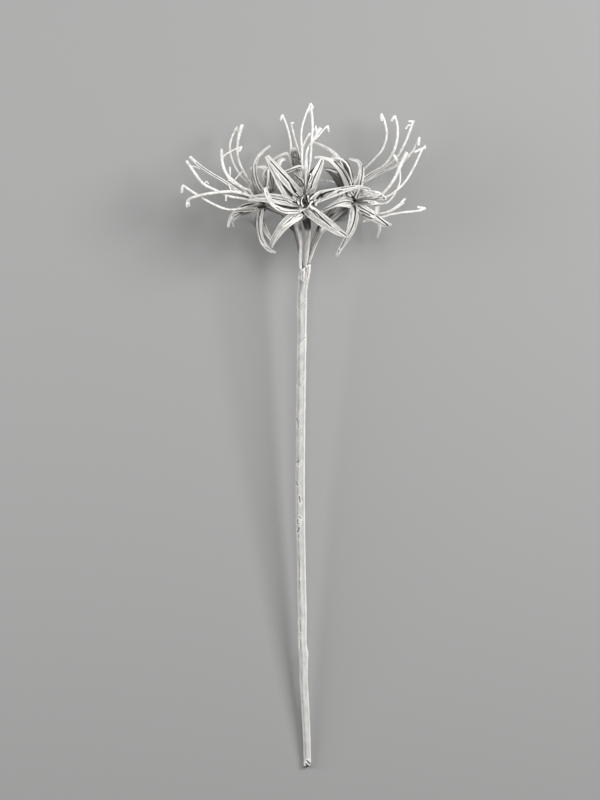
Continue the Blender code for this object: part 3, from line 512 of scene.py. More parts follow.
def makeStem():
    shape, tone, ink = newShape()
    marks = asMarks(stem["marks"])
    foot = tracing["footRow"]
    count, pitch = stem["footRings"]
    outerRows = [foot - pitch * (index + 1) for index in range(count)]
    for first, last, count in stem["ringRows"]:
        outerRows += [first - (first - last) * index / max(1, count - 1) for index in range(count)]
    least = stem["tapeLeast"]
    faint, added = stem["seamPatches"]
    fine, shift = stem["raggedGrain"]
    wide, tall, deep = stem["patchGrain"]
    mouth, fall, *depths = stem["boreTone"]
    inner = len(stem["bore"])
    total = inner + len(outerRows) + 1
    for vertex in addGrid(shape, stem["sides"], total - 1):
        index = round((vertex.co.y + 1) / 2 * (total - 1))
        angle = (vertex.co.x + 1) * math.pi
        outward = Vector((math.cos(angle), 0, math.sin(angle)))
        slant = outward.dot(stem["cutSlant"]) + stem["cutSetback"]
        torn = Vector((math.cos(angle) * fine, math.sin(angle) * fine, shift))
        ragged = stem["ragged"] * noise.noise(torn)
        turned = math.degrees(angle) % 360
        ragged += sum(back * bell(turned, middle, spread) for middle, spread, back in stem["torn"])
        if index < inner:
            share, depth = stem["bore"][index]
            row = foot - depth * mm / tracing["step"]
            vertex.co = stemCentre(row) + outward * (stem["boreRadius"] * share * mm)
            vertex.co.y += (slant + ragged) * mm * (1 - fade(depth, 0, stem["cutDepth"]))
            vertex[tone] = mouth - fall * fade(depth, *depths)
            vertex[ink] = fade(depth, *stem["boreShade"])
            continue
        if index == total - 1:
            vertex.co = stemCentre(outerRows[-1])
            vertex[tone] = stem["topTone"]
            continue
        row = outerRows[index - inner]
        radius = blend(widthsOfStem, -row) * tracing["step"] / 2
        phase = wound(row, outward)
        strength = blend(stem["seamStrength"], -row)
        lift = stem["tapeStep"] * (phase - 0.5) * (least + (1 - least) * strength)
        for high, across, along, twist in stem["wrinkles"]:
            lift += high * noise.noise(
                Vector((outward.x * across, row * along + outward.z * twist, outward.z * across)))
        centre = stemCentre(row)
        column = columnAt(centre.x + outward.x * radius)
        dark, pull, glint = 0.0, 0.0, 0.0
        if outward.z > stem["seenFrom"]:
            for dentRow, dentColumn, depth, halfLength, halfWidth in stem["dents"]:
                away = ((row - dentRow) / halfLength) ** 2 + ((column - dentColumn) / halfWidth) ** 2
                if away < stem["dentReach"]:
                    lift -= depth * math.exp(-away)
                    # painted shade in the dent
                    shadeInDent = stem["dentShade"] * math.exp(-away * stem["dentShadeEdge"])
                    dark = max(dark, shadeInDent * (depth > 0))
            pull, glint = markedAt(column, row, marks)
        lift -= stem["markDepth"] * pull
        patchy = 0.5 + 0.5 * noise.noise(Vector((outward.x * wide, row * tall, deep + outward.z)))
        # painted shadow along the tape's edge
        seam = bell(phase, 1, stem["seamWidth"]) * (faint + added * patchy) * strength
        free = 1 if row > stem["plainRow"] else stem["plainShare"]
        vertex.co = centre + outward * (radius + lift * mm * free)
        vertex.co.y += (slant + ragged) * mm * fade(row, *stem["cutRows"])
        # painted light and shade that follow the tape's step
        edge = stem["tapeTone"] * (phase - 0.5) * strength
        vertex[tone] = min(1.0, stemToneWithPaintedLight(outward, row) + edge + glint)
        vertex[ink] = min(stem["mostShade"], max(dark, pull, seam * stem["seamShadow"]))
    finishPiece("woundStem", shape, stemPaint, "stem", sharp=stem["sharp"])


makeStem()

# tape round the neck
neckTape = {
    # row, column of the centre, width in tracing steps
    "line": [
        (309.15, 302.0, 9.8), (298, 302.0, 9.8), (290, 302.4, 9.4), (284, 303.0, 9.9), (278, 303.7, 10.9),
        (272, 304.5, 11.6), (264.5, 304.8, 12.1),
    ],
    # row of the upper edge at the middle, and its rise to either side, in tracing steps
    "topMiddle": 267.4,
    "topRise": 4.8,
    "thickness": 0.4,
    "sides": 56,
    "rings": 64,
    "topBend": 4,  # how late along the sleeve its rings begin to slant
    "wrinkle": 0.08,
    "wrinkleGrain": (2.5, 0.25),
    "markDepth": 0.3,
    "glintRise": 0.5,
    "mostLift": 0.12,
    "sunk": 0.03,  # mm that the sheet's middle lies inside the traced outline
    "darker": 0.04,
    "edge": (0.955, 0.985, 0.18),  # painted highlight along the upper edge: from, to, brightness
    # painted shade in the folds; below 0, painted highlights
    "marks": [(0.6, 0.35, 0.3, 298.4, 308, 302, 304, 305.4, 299.8), (0.6, 0.55, 0.45, 303, 271.5,
        302.7, 276, 303, 279.5), (0.75, 0.55, 0.45, 306, 267.8, 305.9, 272), (0.45, 0.5, 0.4, 305.9, 272,
        305.2, 277, 304.8, 281), (0.4, 0.45, 0.4, 308.3, 266.5, 307.8, 272, 307, 278),
        (-0.16, 0.55, 0.5, 298.8, 277.4, 302, 279.6, 304.8, 282.2), (-0.18, 0.5, 0.5, 304.3, 269,
        304.4, 275, 304, 280), (-0.12, 0.5, 0.5, 307.2, 266, 306.9, 272, 306, 279),
        (0.26, 1.9, 1.5, 302, 282, 301.6, 286, 300.8, 290), (0.25, 0.7, 0.5, 299.3, 291, 299.1, 298,
        299, 305)],
}


def makeNeckTape():
    shape, tone, ink = newShape()
    marks = asMarks(neckTape["marks"])
    columns = [(-row, column) for row, column, _ in neckTape["line"]]
    widths = [(-row, width) for row, _, width in neckTape["line"]]
    low, top = neckTape["line"][0][0], neckTape["line"][-1][0]
    edgeStart, edgeEnd, edgeTone = neckTape["edge"]
    wide, tall = neckTape["wrinkleGrain"]
    for vertex in addGrid(shape, neckTape["sides"], neckTape["rings"]):
        turn = (vertex.co.x + 1) * math.pi
        share = (vertex.co.y + 1) / 2
        outward = Vector((math.cos(turn), 0, math.sin(turn)))
        upper = max(top, neckTape["topMiddle"] - neckTape["topRise"] * math.cos(turn))
        row = low + (top - low) * share + (upper - top) * share ** neckTape["topBend"]
        radius = blend(widths, -row) * tracing["step"] / 2
        centre = stemCentre(row)
        centre.x = place((blend(columns, -row), row, 0)).x
        column = columnAt(centre.x + outward.x * radius)
        pull, glint = markedAt(column, row, marks) if outward.z > 0 else (0.0, 0.0)
        wrinkle = noise.noise(Vector((outward.x * wide, row * tall, outward.z * wide)))
        lift = neckTape["wrinkle"] * wrinkle - neckTape["markDepth"] * pull + neckTape["glintRise"] * glint
        vertex.co = centre + outward * (radius + (min(neckTape["mostLift"], lift) - neckTape["sunk"]) * mm)
        # painted light from the stem's tone, painted highlights from the marks and along the upper edge
        vertex[tone] = min(1.0, stemToneWithPaintedLight(outward, row) - neckTape["darker"] + glint
                           + edgeTone * fade(share, edgeStart, edgeEnd))
        vertex[ink] = pull
    finishPiece("neckTapeWrap", shape, tapePaint, "neck_tape", neckTape["thickness"] * mm)


makeNeckTape()

# blooms: every place is column, row and height in mm
# brightness from the root of a tepal to its tip, with painted shade in it: darker towards the root by the
# throat, and darker on the whole on tepals that lie in shadow
paleTones = [(-0.25, 0.5), (0.0, 0.68), (0.15, 0.78), (1.0, 0.84)]
greyShadedTones = [(-0.25, 0.22), (0.0, 0.4), (0.5, 0.52), (1.0, 0.7)]
shadeTones = [(-0.25, 0.18), (0.0, 0.3), (0.6, 0.42), (1.0, 0.56)]
bladeDefaults = {
    "fold": 0.42,  # rise of the edges over the middle crease, as a share of half the width
    "tones": paleTones,
    "halves": (0.0, 0.0),  # brightness added to the half at the first and at the second edge: painted light where above 0, painted shade below
    "rims": (0.2, 0.2),  # painted highlight added along the first and the second edge
    # painted shade in creases and gaps, and painted glints
    "marks": [],
    "mottle": 0.12,  # brightness of the blotches
    "streaks": 0.36,  # strength of the fine dark lines between the creases
    # painted shade of the throat over the tepal's root
    "rootShade": 0.97,
    "darkest": 0.05,
    "wave": 0.15,  # mm
    "edgeWave": 0.035,  # share of half the width
    "curl": 0.14,  # mm that the very edges turn up
    "groove": 0.8,  # mm that a full crease is deep
    "thickness": 0.5,
    "foldRest": 0.5,  # where the folded sheet crosses its traced height, as a share of half the width
    # shares of half the width between which each begins
    "halfFrom": (0.0, 0.25),
    "rimFrom": (0.78, 0.95),
    "curlFrom": (0.8, 1.0),
    "streakFrom": (0.15, 0.4),  # levels of their cloud between which they begin
    # how fine each cloud is across and along, and its seed
    "waveGrain": (1.3, 7, 20),
    "streakGrain": (6.5, 2.4, 80),
    "mottleGrain": (4, 9, 60),
    "edgeGrain": (3.0, 9, 0),
}
blooms = {}
# Each bloom: throatShade is where the painted shade of the throat ends, in mm from its middle. throatMarks
# are its black places of painted shade, on every tepal that reaches them. Stalk and tube run from the neck
# to the throat. A tepal is its traced stations from root to tip (column, row, column, row, height in mm)
# and its look. A filament is its line, the two ends of its hook, its widths, whether it is double, and the
# share up to which its root is painted shade, where it isn't 0.1. A bit is a short strand: its line and its
# widths.
blooms["front"] = {
    "throatShade": (2.6, 4.6),
    "throatMarks": [(1.0, 0.4, 0.4, 311.2, 187.8, 308.5, 190.5, 305.5, 194, 301.5, 197.5),
        (1.0, 0.65, 0.65, 310.6, 188.5, 311.4, 187.8), (1.0, 0.9, 0.9, 305.6, 197, 305.8, 204),
        (1.0, 0.4, 0.4, 300.6, 197.5, 300.4, 203, 301, 208.5), (1.0, 0.5, 0.5, 303, 208, 305.8, 208.2),
        (1.0, 0.4, 0.4, 296.3, 199.5, 297.2, 203, 298.3, 206), (1.0, 0.35, 0.35, 299.7, 199, 300, 205),
        (1.0, 0.8, 0.8, 302.2, 212.3, 304, 215, 306, 217.5), (1.0, 0.4, 0.4, 313, 194, 310.5, 197,
        309.2, 200, 311, 201.4), (1.0, 0.75, 0.75, 313.2, 203, 313.7, 206.3), (1.0, 0.42, 0.42, 302.8, 191,
        303.7, 194.5), (1.0, 0.42, 0.42, 295.8, 191.5, 298, 194, 300, 196.3),
        (1.0, 0.35, 0.35, 294.5, 193.5, 296, 196.5, 298, 199)],
    "stalkTones": (0.7, 1.0),
    "ovaryTone": 0.2,
    "axis": (0.0, 0.22, 0.975),
    "throat": (305, 203, 80),
    "pedicel": [(304.2, 277, 51.3, 0.95), (304.9, 267, 52.8, 1.05), (305.7, 261, 53.6, 1.55),
        (306.3, 254, 55, 2.0), (307.1, 243, 57.5, 2.35), (307.7, 232, 60.5, 2.35),
        (307.9, 226.5, 62.5, 2.45), (308, 221, 65, 2.3), (308, 217.5, 67, 1.8)],
    "tube": [(306.8, 210, 71.5)],
    "tepals": [
        ([(291.5, 196.5, 302, 190.5, 86), (282.5, 185, 291, 178.5, 91), (275, 173.5, 282.5, 169.5, 90.5),
         (269.5, 164.5, 275.5, 162.5, 87), (265.2, 157, 268.6, 155.6, 83)],
         {"halves": (-0.05, 0.07), "streaks": 0.15, "marks": [(1.0, 0.5, 0.75, 270.2, 161, 274, 165.3,
         278, 169.9, 282, 174.2, 286, 178.4, 289, 181.8), (1.0, 0.45, 1.45, 289.5, 182.5, 291, 185,
         293.7, 190, 297.2, 195, 298.2, 196.5), (1.0, 0.3, 0.8, 275.8, 175, 278.6, 180, 282, 185),
         (1.0, 0.8, 1.6, 282, 185, 285.4, 189, 288.4, 193, 290.5, 195.8), (-0.25, 0.7, 0.7, 284, 176.3,
         290, 182.3, 296, 188.8, 301, 195), (-0.25, 0.5, 0.5, 288, 183, 291, 189.5, 294.3, 195.5),
         (-0.18, 0.5, 0.5, 273, 163, 279, 168.7, 285, 174.6, 290, 180.5, 295, 188, 300.5, 195)]}),
        ([(291, 200, 294, 197, 84), (284.5, 197.5, 288, 195.5, 87), (279.3, 190, 284, 188.5, 89.5),
         (274.3, 180, 278.7, 179, 90), (270.3, 170, 273.7, 169.5, 88.5), (265.3, 158, 269, 159, 84.2)],
         {"fold": 0.3, "marks": [(0.35, 0.5, 0.5, 269, 164, 273.5, 173, 278, 183, 282, 191),
         (1.0, 0.6, 0.9, 283, 186, 285.4, 190, 287.6, 193, 291, 196)]}),
        ([(306.5, 191, 315, 191, 87), (309, 181, 318.5, 181.5, 91), (312.5, 172.5, 321, 173, 90.5),
         (317, 165, 323, 166, 88), (320.3, 159.3, 324, 159.7, 84)],
         {"halves": (-0.04, 0.04), "marks": [(1.0, 0.5, 0.6, 321.6, 161, 320, 165.5, 318.2, 169.5,
         316.4, 173.2, 314.5, 176.8, 313.2, 180.5, 311.5, 186, 310.5, 189), (1.0, 0.42, 0.42, 311.5, 175,
         312, 178, 310.5, 181, 309.3, 183), (-0.22, 0.6, 0.6, 320.3, 161, 317.8, 166.5, 315, 170.5,
         313.3, 174, 312.9, 178), (0.4, 0.3, 0.3, 316.5, 175, 315, 181, 313.5, 187)]}),
        ([(311.5, 195.5, 315.5, 205, 86), (320, 191.3, 322, 202, 88.5), (330, 189.4, 331.5, 198.2, 90),
         (340, 187.8, 341, 194.8, 89), (350, 186.3, 350.5, 190.8, 86), (363, 185.8, 363.8, 188.3, 79.5)],
         {"halves": (-0.04, -0.1), "marks": [(-0.25, 0.9, 0.7, 316, 192.3, 321, 190.9, 327, 190, 335, 188.3,
         341, 187, 362, 185.8), (1.0, 1.0, 0.5, 321.3, 197.5, 322.5, 194.8, 326, 193, 332, 191.6,
         334.5, 191), (0.6, 2.4, 0.5, 321.5, 197.5, 327, 195, 333, 192.5), (-0.2, 0.4, 0.4, 320.5, 198.8,
         326, 195.8, 332, 193.2, 337, 190.7), (0.85, 0.8, 0.5, 337.8, 193.2, 339.6, 191.5, 342.5, 191.4),
         (0.9, 0.5, 0.4, 341, 188.8, 346, 188.2, 350, 187.4, 355, 186.6), (-0.2, 0.45, 0.45, 319, 204.3,
         324, 201.3, 331, 198.2, 338, 195, 345, 192, 352, 190), (1.0, 0.8, 1.0, 307.5, 198.5, 310.5, 196,
         313.5, 194), (1.0, 1.0, 1.0, 316.5, 199.5, 318.8, 196.8, 320.8, 195), (1.0, 0.8, 0.8, 312.5, 201.3,
         313, 203.8, 314, 205), (0.9, 0.4, 0.4, 315, 202.6, 316.5, 201.6, 318.5, 201.3)]}),
        ([(312, 206.5, 303, 212.5, 85), (319, 211, 312, 220.5, 86.5), (327, 217, 320, 226.3, 87),
         (334, 223, 329, 231.3, 84.5), (340.5, 228.7, 336.5, 235.3, 81), (347.3, 235, 344.5, 237.8, 76)],
         {"tones": [(-0.25, 0.45), (0.0, 0.62), (0.15, 0.72), (1.0, 0.8)], "halves": (0.06, -0.08),
         "marks": [(0.5, 2.2, 1.6, 304.5, 213, 308, 215.5), (1.0, 0.5, 0.6, 313.5, 210.8, 317, 213.8,
         320.5, 217.3), (1.0, 0.8, 0.5, 320, 217.2, 325, 221.6, 329, 225, 331.3, 227),
         (1.0, 0.52, 0.5, 308.3, 207.6, 310, 209.2, 313.5, 213, 317.5, 217.3), (0.5, 0.7, 0.6, 317.5, 217.3,
         320.5, 219.6, 323, 221.5), (-0.25, 0.6, 0.5, 304.5, 211.2, 309, 211.6, 313.5, 214.6, 320, 219.6,
         326, 224.2, 330.5, 227), (1.0, 0.5, 0.45, 340.3, 232, 343, 234, 346.3, 236.4),
         (0.4, 0.5, 0.5, 331, 227.5, 336, 230.2, 340, 232), (1.0, 0.9, 0.9, 301, 212, 302.5, 214.5,
         304.5, 217)]}),
        ([(297.5, 212, 302, 218, 86), (288.5, 215, 294.5, 223.5, 87.5), (281.5, 221.5, 287.5, 229, 87),
         (275.5, 230.5, 281, 236, 83.5), (271, 239, 275.5, 243, 78.5), (269.9, 246, 272.6, 248.2, 74)],
         {"halves": (-0.05, 0.05), "marks": [(1.0, 0.3, 0.6, 283.5, 225.8, 287, 223, 290, 220.5),
         (1.0, 0.55, 0.3, 290, 220.5, 292, 218.6, 294.3, 216.4), (0.6, 0.4, 0.4, 292.5, 220.5, 295, 218.9,
         298, 217.3, 302, 216.3), (0.9, 0.32, 0.32, 295.5, 217.5, 297, 215.5, 298, 214),
         (0.8, 0.25, 0.25, 293.3, 216, 295.5, 214), (0.4, 0.6, 0.6, 299.5, 214.2, 303, 213.5),
         (-0.25, 0.5, 0.5, 284, 223.8, 289, 219.3, 293, 216), (-0.3, 0.7, 0.7, 284, 227.5, 290, 223.3,
         296, 219.8, 301.5, 217.8), (0.4, 0.4, 0.4, 273, 243, 276, 236.3, 280, 230.3, 284, 225.6),
         (-0.2, 0.8, 0.8, 296, 220.3, 302, 217.6)]}),
        ([(290, 199, 293.5, 209.3, 85), (281, 195.3, 282.5, 208, 87.5), (271, 194, 271, 204, 88.3),
         (261, 194.6, 260.5, 202, 85), (249.5, 196.5, 248.5, 201.5, 78.5)],
         {"halves": (-0.06, -0.06), "marks": [(0.9, 0.35, 0.35, 283, 200.2, 287, 201.3, 291, 204),
         (0.95, 0.42, 0.45, 257, 197.4, 265, 197.5, 270, 198.3, 277, 199.7, 285, 201),
         (0.6, 0.25, 0.25, 271, 201, 276, 201.2, 281, 202, 285, 203), (1.0, 0.55, 0.5, 293, 202, 296.5, 203,
         299, 206), (1.0, 0.8, 1.2, 275, 204.3, 279.5, 206, 285, 207, 291, 208.3, 298, 209.3),
         (-0.2, 0.6, 0.6, 249.5, 196.8, 258, 195.3, 266, 194.9, 274, 195, 280, 196),
         (-0.15, 0.5, 0.5, 250, 200.2, 258, 199.2, 266, 199.2), (0.3, 0.35, 0.35, 262, 196.1, 270, 196.2,
         277, 197)]}),
        ([(299, 210.3, 300, 213.3, 86), (290, 209.3, 289.5, 214.6, 90), (281.5, 206.5, 280, 212, 94),
         (274, 201.5, 271.5, 206.5, 95.3), (269.5, 194, 266.5, 198.5, 95), (266.8, 187, 263.6, 189, 92.3)],
         {"fold": 0.3, "tones": [(0.0, 0.74), (0.6, 0.8), (0.85, 0.94), (1.0, 0.94)],
         "marks": [(1.0, 0.55, 1.1, 275, 204.3, 283, 207.3, 290, 208.6, 297, 208.8),
         (-0.3, 0.5, 0.5, 276, 206.5, 282, 209.5, 288, 210.8, 298, 210.5), (-0.3, 0.6, 0.6, 270, 203,
         275, 208, 281, 212, 287, 213.8, 299, 212.5), (1.0, 0.42, 0.35, 276.5, 207.8, 281, 210.8,
         285, 211.9, 288, 212.1, 299.5, 211.7), (0.8, 0.45, 0.4, 266.3, 193, 267.5, 196.3)]}),
    ],
    "filaments": [
        ([(304.5, 186, 98), (302.5, 168, 108), (301.7, 148, 112), (301.5, 132, 112), (305, 118, 108),
         (310.5, 104.5, 103)], [(310.5, 104.5, 103), (313, 109, 103)], [(0, 1.0), (0.38, 1.1), (0.46, 1.8),
         (0.6, 2.1), (0.7, 1.9), (1, 1.9)], False, 0.45),
        ([(306.5, 186, 98), (309.5, 168, 107), (311, 150, 111), (312.5, 130, 110), (312, 116, 106),
         (311, 108.5, 103)], [(312.3, 120, 107), (311, 108.5, 103)], [(0, 1.0), (0.35, 1.1), (0.45, 1.6),
         (0.6, 1.7), (0.7, 2.6), (0.9, 2.5), (1, 2.2)], False, 0.43),
        ([(305.5, 186, 95), (306, 170, 101), (306.5, 154, 104), (311, 143.5, 102), (318, 137, 99),
         (323, 131, 96), (327.5, 126.5, 94)], [(327.5, 126.5, 94), (328.5, 132.5, 94)], [(0, 1.2),
         (0.3, 1.5), (0.4, 1.9), (0.48, 3.6), (0.62, 2.1), (1, 1.8)], False, 0.24),
    ],
    "bits": [
        ([(309.5, 134, 110.5), (306, 140, 111), (303, 147, 112)], [(0, 1.5), (1, 1.5)]),
        ([(311.5, 143, 102), (316, 136, 101.5), (320.5, 129.3, 101)], [(0, 1.7), (0.6, 3.6), (1, 6.0)]),
        ([(311.5, 111.5, 104.5), (309, 110.5, 104), (309, 114, 104)], [(0, 1.5), (1, 1.5)]),
        ([(306.8, 193.3, 88), (303.2, 197, 87.5), (301.3, 201, 87)], [(0, 1.2), (1, 1.2)]),
        ([(301.3, 201, 87), (301.8, 204.5, 87), (303, 206.8, 86.5)], [(0, 1.4), (1, 2.3)]),
        ([(307.8, 196, 88), (308.4, 199, 87.5), (308.9, 202.3, 87)], [(0, 2.4), (1, 1.6)]),
        ([(297.6, 201.3, 87), (298.3, 203, 87), (298.9, 205, 86.5)], [(0, 1.8), (1, 2.2)]),
        ([(299.8, 212.3, 88), (302.3, 210.8, 88), (304.8, 209.4, 87)], [(0, 2.0), (1, 1.8)]),
        ([(306.8, 209.2, 87), (308, 207.8, 87), (309.3, 205.8, 87)], [(0, 1.8), (1, 1.4)]),
        ([(313, 201.8, 89), (310.9, 203.2, 89.5), (309.9, 205.8, 90), (311.4, 208.2, 90),
         (314.5, 209.4, 90), (317, 211.2, 89.5), (319.3, 214, 89)], [(0, 2.4), (0.4, 2.9), (1, 1.8)]),
        ([(316.2, 205.8, 89.5), (316, 204.3, 90), (317, 202.5, 90.3), (319.3, 201, 90.5)], [(0, 2.6),
         (0.3, 1.8), (1, 1.2)]),
        ([(314, 202, 90), (315, 200.8, 90.3), (317, 200.5, 90.5)], [(0, 1.2), (1, 1.2)]),
        ([(310.3, 199.8, 90), (313, 197, 90.5), (316, 194.5, 90.5), (318.8, 192.6, 90)], [(0, 2.4),
         (1, 2.8)]),
        ([(294.5, 193.5, 89), (297.5, 196.5, 88)], [(0, 1.2), (1, 1.2)]),
        ([(296.5, 192.5, 89), (300, 196.3, 88)], [(0, 1.2), (1, 1.2)]),
        ([(302.6, 180.5, 92), (305, 186.5, 91), (306.7, 191.3, 90)], [(0, 1.3), (1, 1.3)]),
        ([(302.9, 168, 96), (303.2, 170, 96)], [(0, 2.6), (1, 2.6)]),
        ([(301.3, 173.8, 95), (303, 172, 95.5), (303.8, 175.5, 95)], [(0, 1.5), (1, 1.3)]),
        ([(310.2, 174.3, 91), (311.4, 176.3, 91)], [(0, 2.2), (1, 1.8)]),
        ([(311.3, 143.5, 106), (311.6, 149, 105), (311.3, 156, 104), (310.8, 162, 102), (309, 169.5, 99)],
         [(0, 2.0), (1, 1.6)]),
        ([(316, 126.5, 96), (315.2, 129.5, 96), (314.6, 132, 96), (316, 133.5, 96)], [(0, 2.4), (0.3, 1.6),
         (1, 1.6)]),
    ],
}
blooms["left"] = {
    "throatShade": (2.0, 4.2),
    "throatMarks": [(1.0, 0.5, 0.4, 258.6, 207, 260.4, 209.6), (0.9, 0.4, 0.4, 253, 206.3, 258.5, 206)],
    "stalkTones": (0.9, 1.0),
    "ovaryTone": 0.72,
    "axis": (-0.85, 0.15, 0.5),
    "throat": (263, 205, 56),
    "pedicel": [(301.5, 277, 50.0, 0.95), (301.6, 272, 50.5, 0.97), (300.9, 267.5, 51, 1.1),
        (300.6, 262, 51.6, 1.25), (300.8, 254, 52.6, 1.4), (301.2, 243, 54.5, 1.5), (299.8, 234, 57, 1.7),
        (298.6, 229, 58, 2.6), (297, 224.5, 58.6, 2.6), (295, 221, 58.8, 1.9)],
    "tube": [(286, 214.5, 57.5), (274, 209.5, 55)],
    "tepals": [
        ([(264, 210, 259, 210.5, 60.5), (263.3, 217, 256.8, 217, 61), (262.5, 226, 256.5, 226, 61),
         (262.8, 234, 258, 235.5, 59.5), (266, 242.5, 261.5, 244.5, 55.5), (271, 249, 268.5, 251.3, 51),
         (276, 251.8, 275.2, 253.5, 48)],
         {"tones": [(-0.25, 0.6), (0.0, 0.8), (1.0, 0.92)], "halves": (0.06, -0.1), "rims": (0.15, 0.15),
         "marks": [(0.95, 0.5, 0.4, 260.3, 211.5, 258.9, 217, 258.7, 224, 259.1, 232, 260.7, 238.5,
         263.5, 243.5), (-0.4, 0.6, 0.6, 258.4, 212.5, 257.6, 217.5), (-0.22, 0.7, 0.6, 260.2, 219,
         259.9, 228, 261, 236, 264.5, 243, 269, 248.3), (0.8, 0.35, 0.35, 265.5, 247.5, 270.5, 251)]}),
        ([(264, 218, 261.5, 220, 52), (267, 228, 263.5, 230, 50), (270.3, 235, 267, 236.3, 47.5),
         (272, 239.8, 270.5, 240.6, 45)],
         {"tones": [(0.0, 0.6), (0.3, 0.72), (1.0, 0.82)], "marks": [(0.5, 0.5, 0.5, 264.3, 224, 266, 229.5,
         269, 233.5), (-0.25, 0.5, 0.5, 263, 231.5, 266.5, 235, 271, 239.5)]}),
        ([(256, 203.3, 257, 211, 58), (247, 203.3, 248, 212, 59), (240, 206, 241, 213, 59.3),
         (234, 210.5, 235.5, 215.5, 58), (229.5, 217, 232, 219, 55.5), (227, 226.5, 228.8, 227.5, 52)],
         {"tones": [(0.0, 0.84), (0.5, 0.88), (1.0, 0.96)], "marks": [(1.0, 0.9, 0.6, 260, 204.2,
         252, 204.3, 246, 205.3, 241, 207.2), (0.8, 0.4, 0.4, 254, 209.8, 250, 210.2, 244, 210.3,
         236, 210.6), (-0.3, 0.9, 0.7, 257, 207.3, 250, 207.6, 244, 208, 237, 209.3),
         (-0.25, 0.5, 0.6, 258, 202.6, 250, 203.1, 245, 204.1, 240.5, 206.3), (0.9, 0.5, 0.4, 243, 212.4,
         238, 212.8, 234, 214.2, 232.3, 216.5)]}),
        ([(248, 210, 249, 213.5, 54), (241, 212.5, 243, 216, 54), (235.5, 216, 237.5, 218.5, 51),
         (231.8, 220.5, 233.8, 221.5, 48.5), (232.6, 226, 234.4, 227, 45)],
         {"tones": [(0.0, 0.62), (0.5, 0.72), (0.8, 0.9), (1.0, 0.94)],
         "marks": [(-0.25, 0.5, 0.5, 234, 219.8, 237, 217.7, 241, 214.9, 245, 212.8),
         (0.7, 0.4, 0.4, 234.3, 217, 237, 214.8, 241, 213.3)]}),
        ([(256.5, 192, 263, 190, 61), (251.8, 181, 258, 180.5, 63.5), (251.8, 171, 257, 171, 64),
         (254.3, 161.5, 258, 162.5, 61), (258.8, 153.7, 260.6, 154.8, 57),
         (269.6, 144.7, 270.6, 146.2, 51)],
         {"tones": [(0.0, 0.58), (0.5, 0.68), (0.7, 0.86), (1.0, 0.94)], "rims": (0.0, 0.12),
         "marks": [(-0.35, 0.5, 0.5, 260, 154, 255.3, 160.5, 253.6, 166.3, 253.9, 172.3, 255, 178,
         256.6, 183.5, 260, 190), (0.85, 0.4, 0.4, 254.9, 164, 255.2, 172.5, 256.3, 178, 258, 184,
         261, 189), (0.5, 0.6, 0.6, 252.4, 172, 253.4, 178, 255.1, 184), (-0.2, 0.4, 0.4, 257, 162,
         256.6, 168.3, 257.6, 175, 259.3, 181.7, 261.3, 186.3)]}),
        ([(257, 197.5, 262, 193, 51), (252, 192, 257, 187.5, 48), (249, 186.5, 252, 183.5, 45)],
         {"tones": greyShadedTones}),
    ],
    "filaments": [
        ([(250, 191, 66), (243, 188, 68), (233, 180.5, 70), (226.5, 174, 70), (222.5, 163, 68),
         (221.5, 152, 64)], [(222, 158, 66), (221.5, 149.5, 63)], [(0, 2.2), (0.5, 2.8), (1, 3.0)], False),
        ([(248, 196, 65), (235, 189, 68), (225, 182, 70), (210, 173, 69), (200, 166, 67), (190, 157, 63)],
         [(196, 162.5, 65.5), (190, 157, 63)], [(0, 2.4), (1, 3.2)], True),
        ([(245, 199, 66), (230, 196.5, 68), (215, 190, 68), (203, 183.5, 67), (194, 172, 65),
         (187, 161.5, 62)], [(189.5, 165, 63), (186.5, 161, 61.5)], [(0, 2.2), (0.5, 2.6), (1, 3.0)],
         False),
        ([(249, 206.8, 67), (236, 209.5, 69), (225, 209, 68), (210, 202.5, 66), (195, 193.5, 63),
         (183, 185.5, 60)], [(183, 185.5, 60), (181.5, 192.5, 58)], [(0, 2.1), (1, 2.5)], False),
        ([(252, 197, 68), (237, 192.5, 72), (225, 192, 73), (205, 194.5, 72), (192, 198, 69),
         (187.5, 201, 66)], [(187.5, 201, 66), (187, 207, 65)], [(0, 2.2), (0.4, 3.1), (1, 2.9)], False),
        ([(240, 187, 68), (229.5, 180, 69.5), (223, 165, 67), (223, 157.5, 65.5), (230, 152, 64),
         (241.5, 146.5, 62)], [(241.5, 146.5, 62), (239.5, 151.5, 62)], [(0, 1.8), (1, 1.8)], False),
    ],
    "bits": [
        ([(228.5, 181, 69), (230, 176, 69), (230, 167.5, 68)], [(0, 1.5), (0.4, 1.5), (0.7, 2.6),
         (1, 2.8)]),
        ([(235, 180, 69), (239, 175, 68.5), (242, 172, 68)], [(0, 1.6), (1, 1.8)]),
        ([(228.5, 184, 69.5), (231, 190, 70), (234, 192.5, 71)], [(0, 1.6), (1, 1.6)]),
        ([(226, 195.5, 69), (226, 198.5, 68.5), (226, 201, 68)], [(0, 1.8), (1, 2.6)]),
        ([(191, 166.5, 64), (195.5, 167, 65), (200, 169, 66)], [(0, 1.8), (1, 1.8)]),
        ([(204, 184.5, 67), (205.5, 182.5, 67.5), (207, 181.5, 67.5), (208.5, 184, 67.3)], [(0, 1.5),
         (1, 1.5)]),
        ([(188.5, 200.5, 66.3), (189.3, 204, 65.6), (190, 206.5, 65)], [(0, 1.7), (1, 1.7)]),
        ([(182.6, 186.6, 59.6), (182.4, 189.2, 58.8), (182.5, 192, 58.2)], [(0, 3.2), (0.6, 4.2),
         (1, 3.0)]),
    ],
}
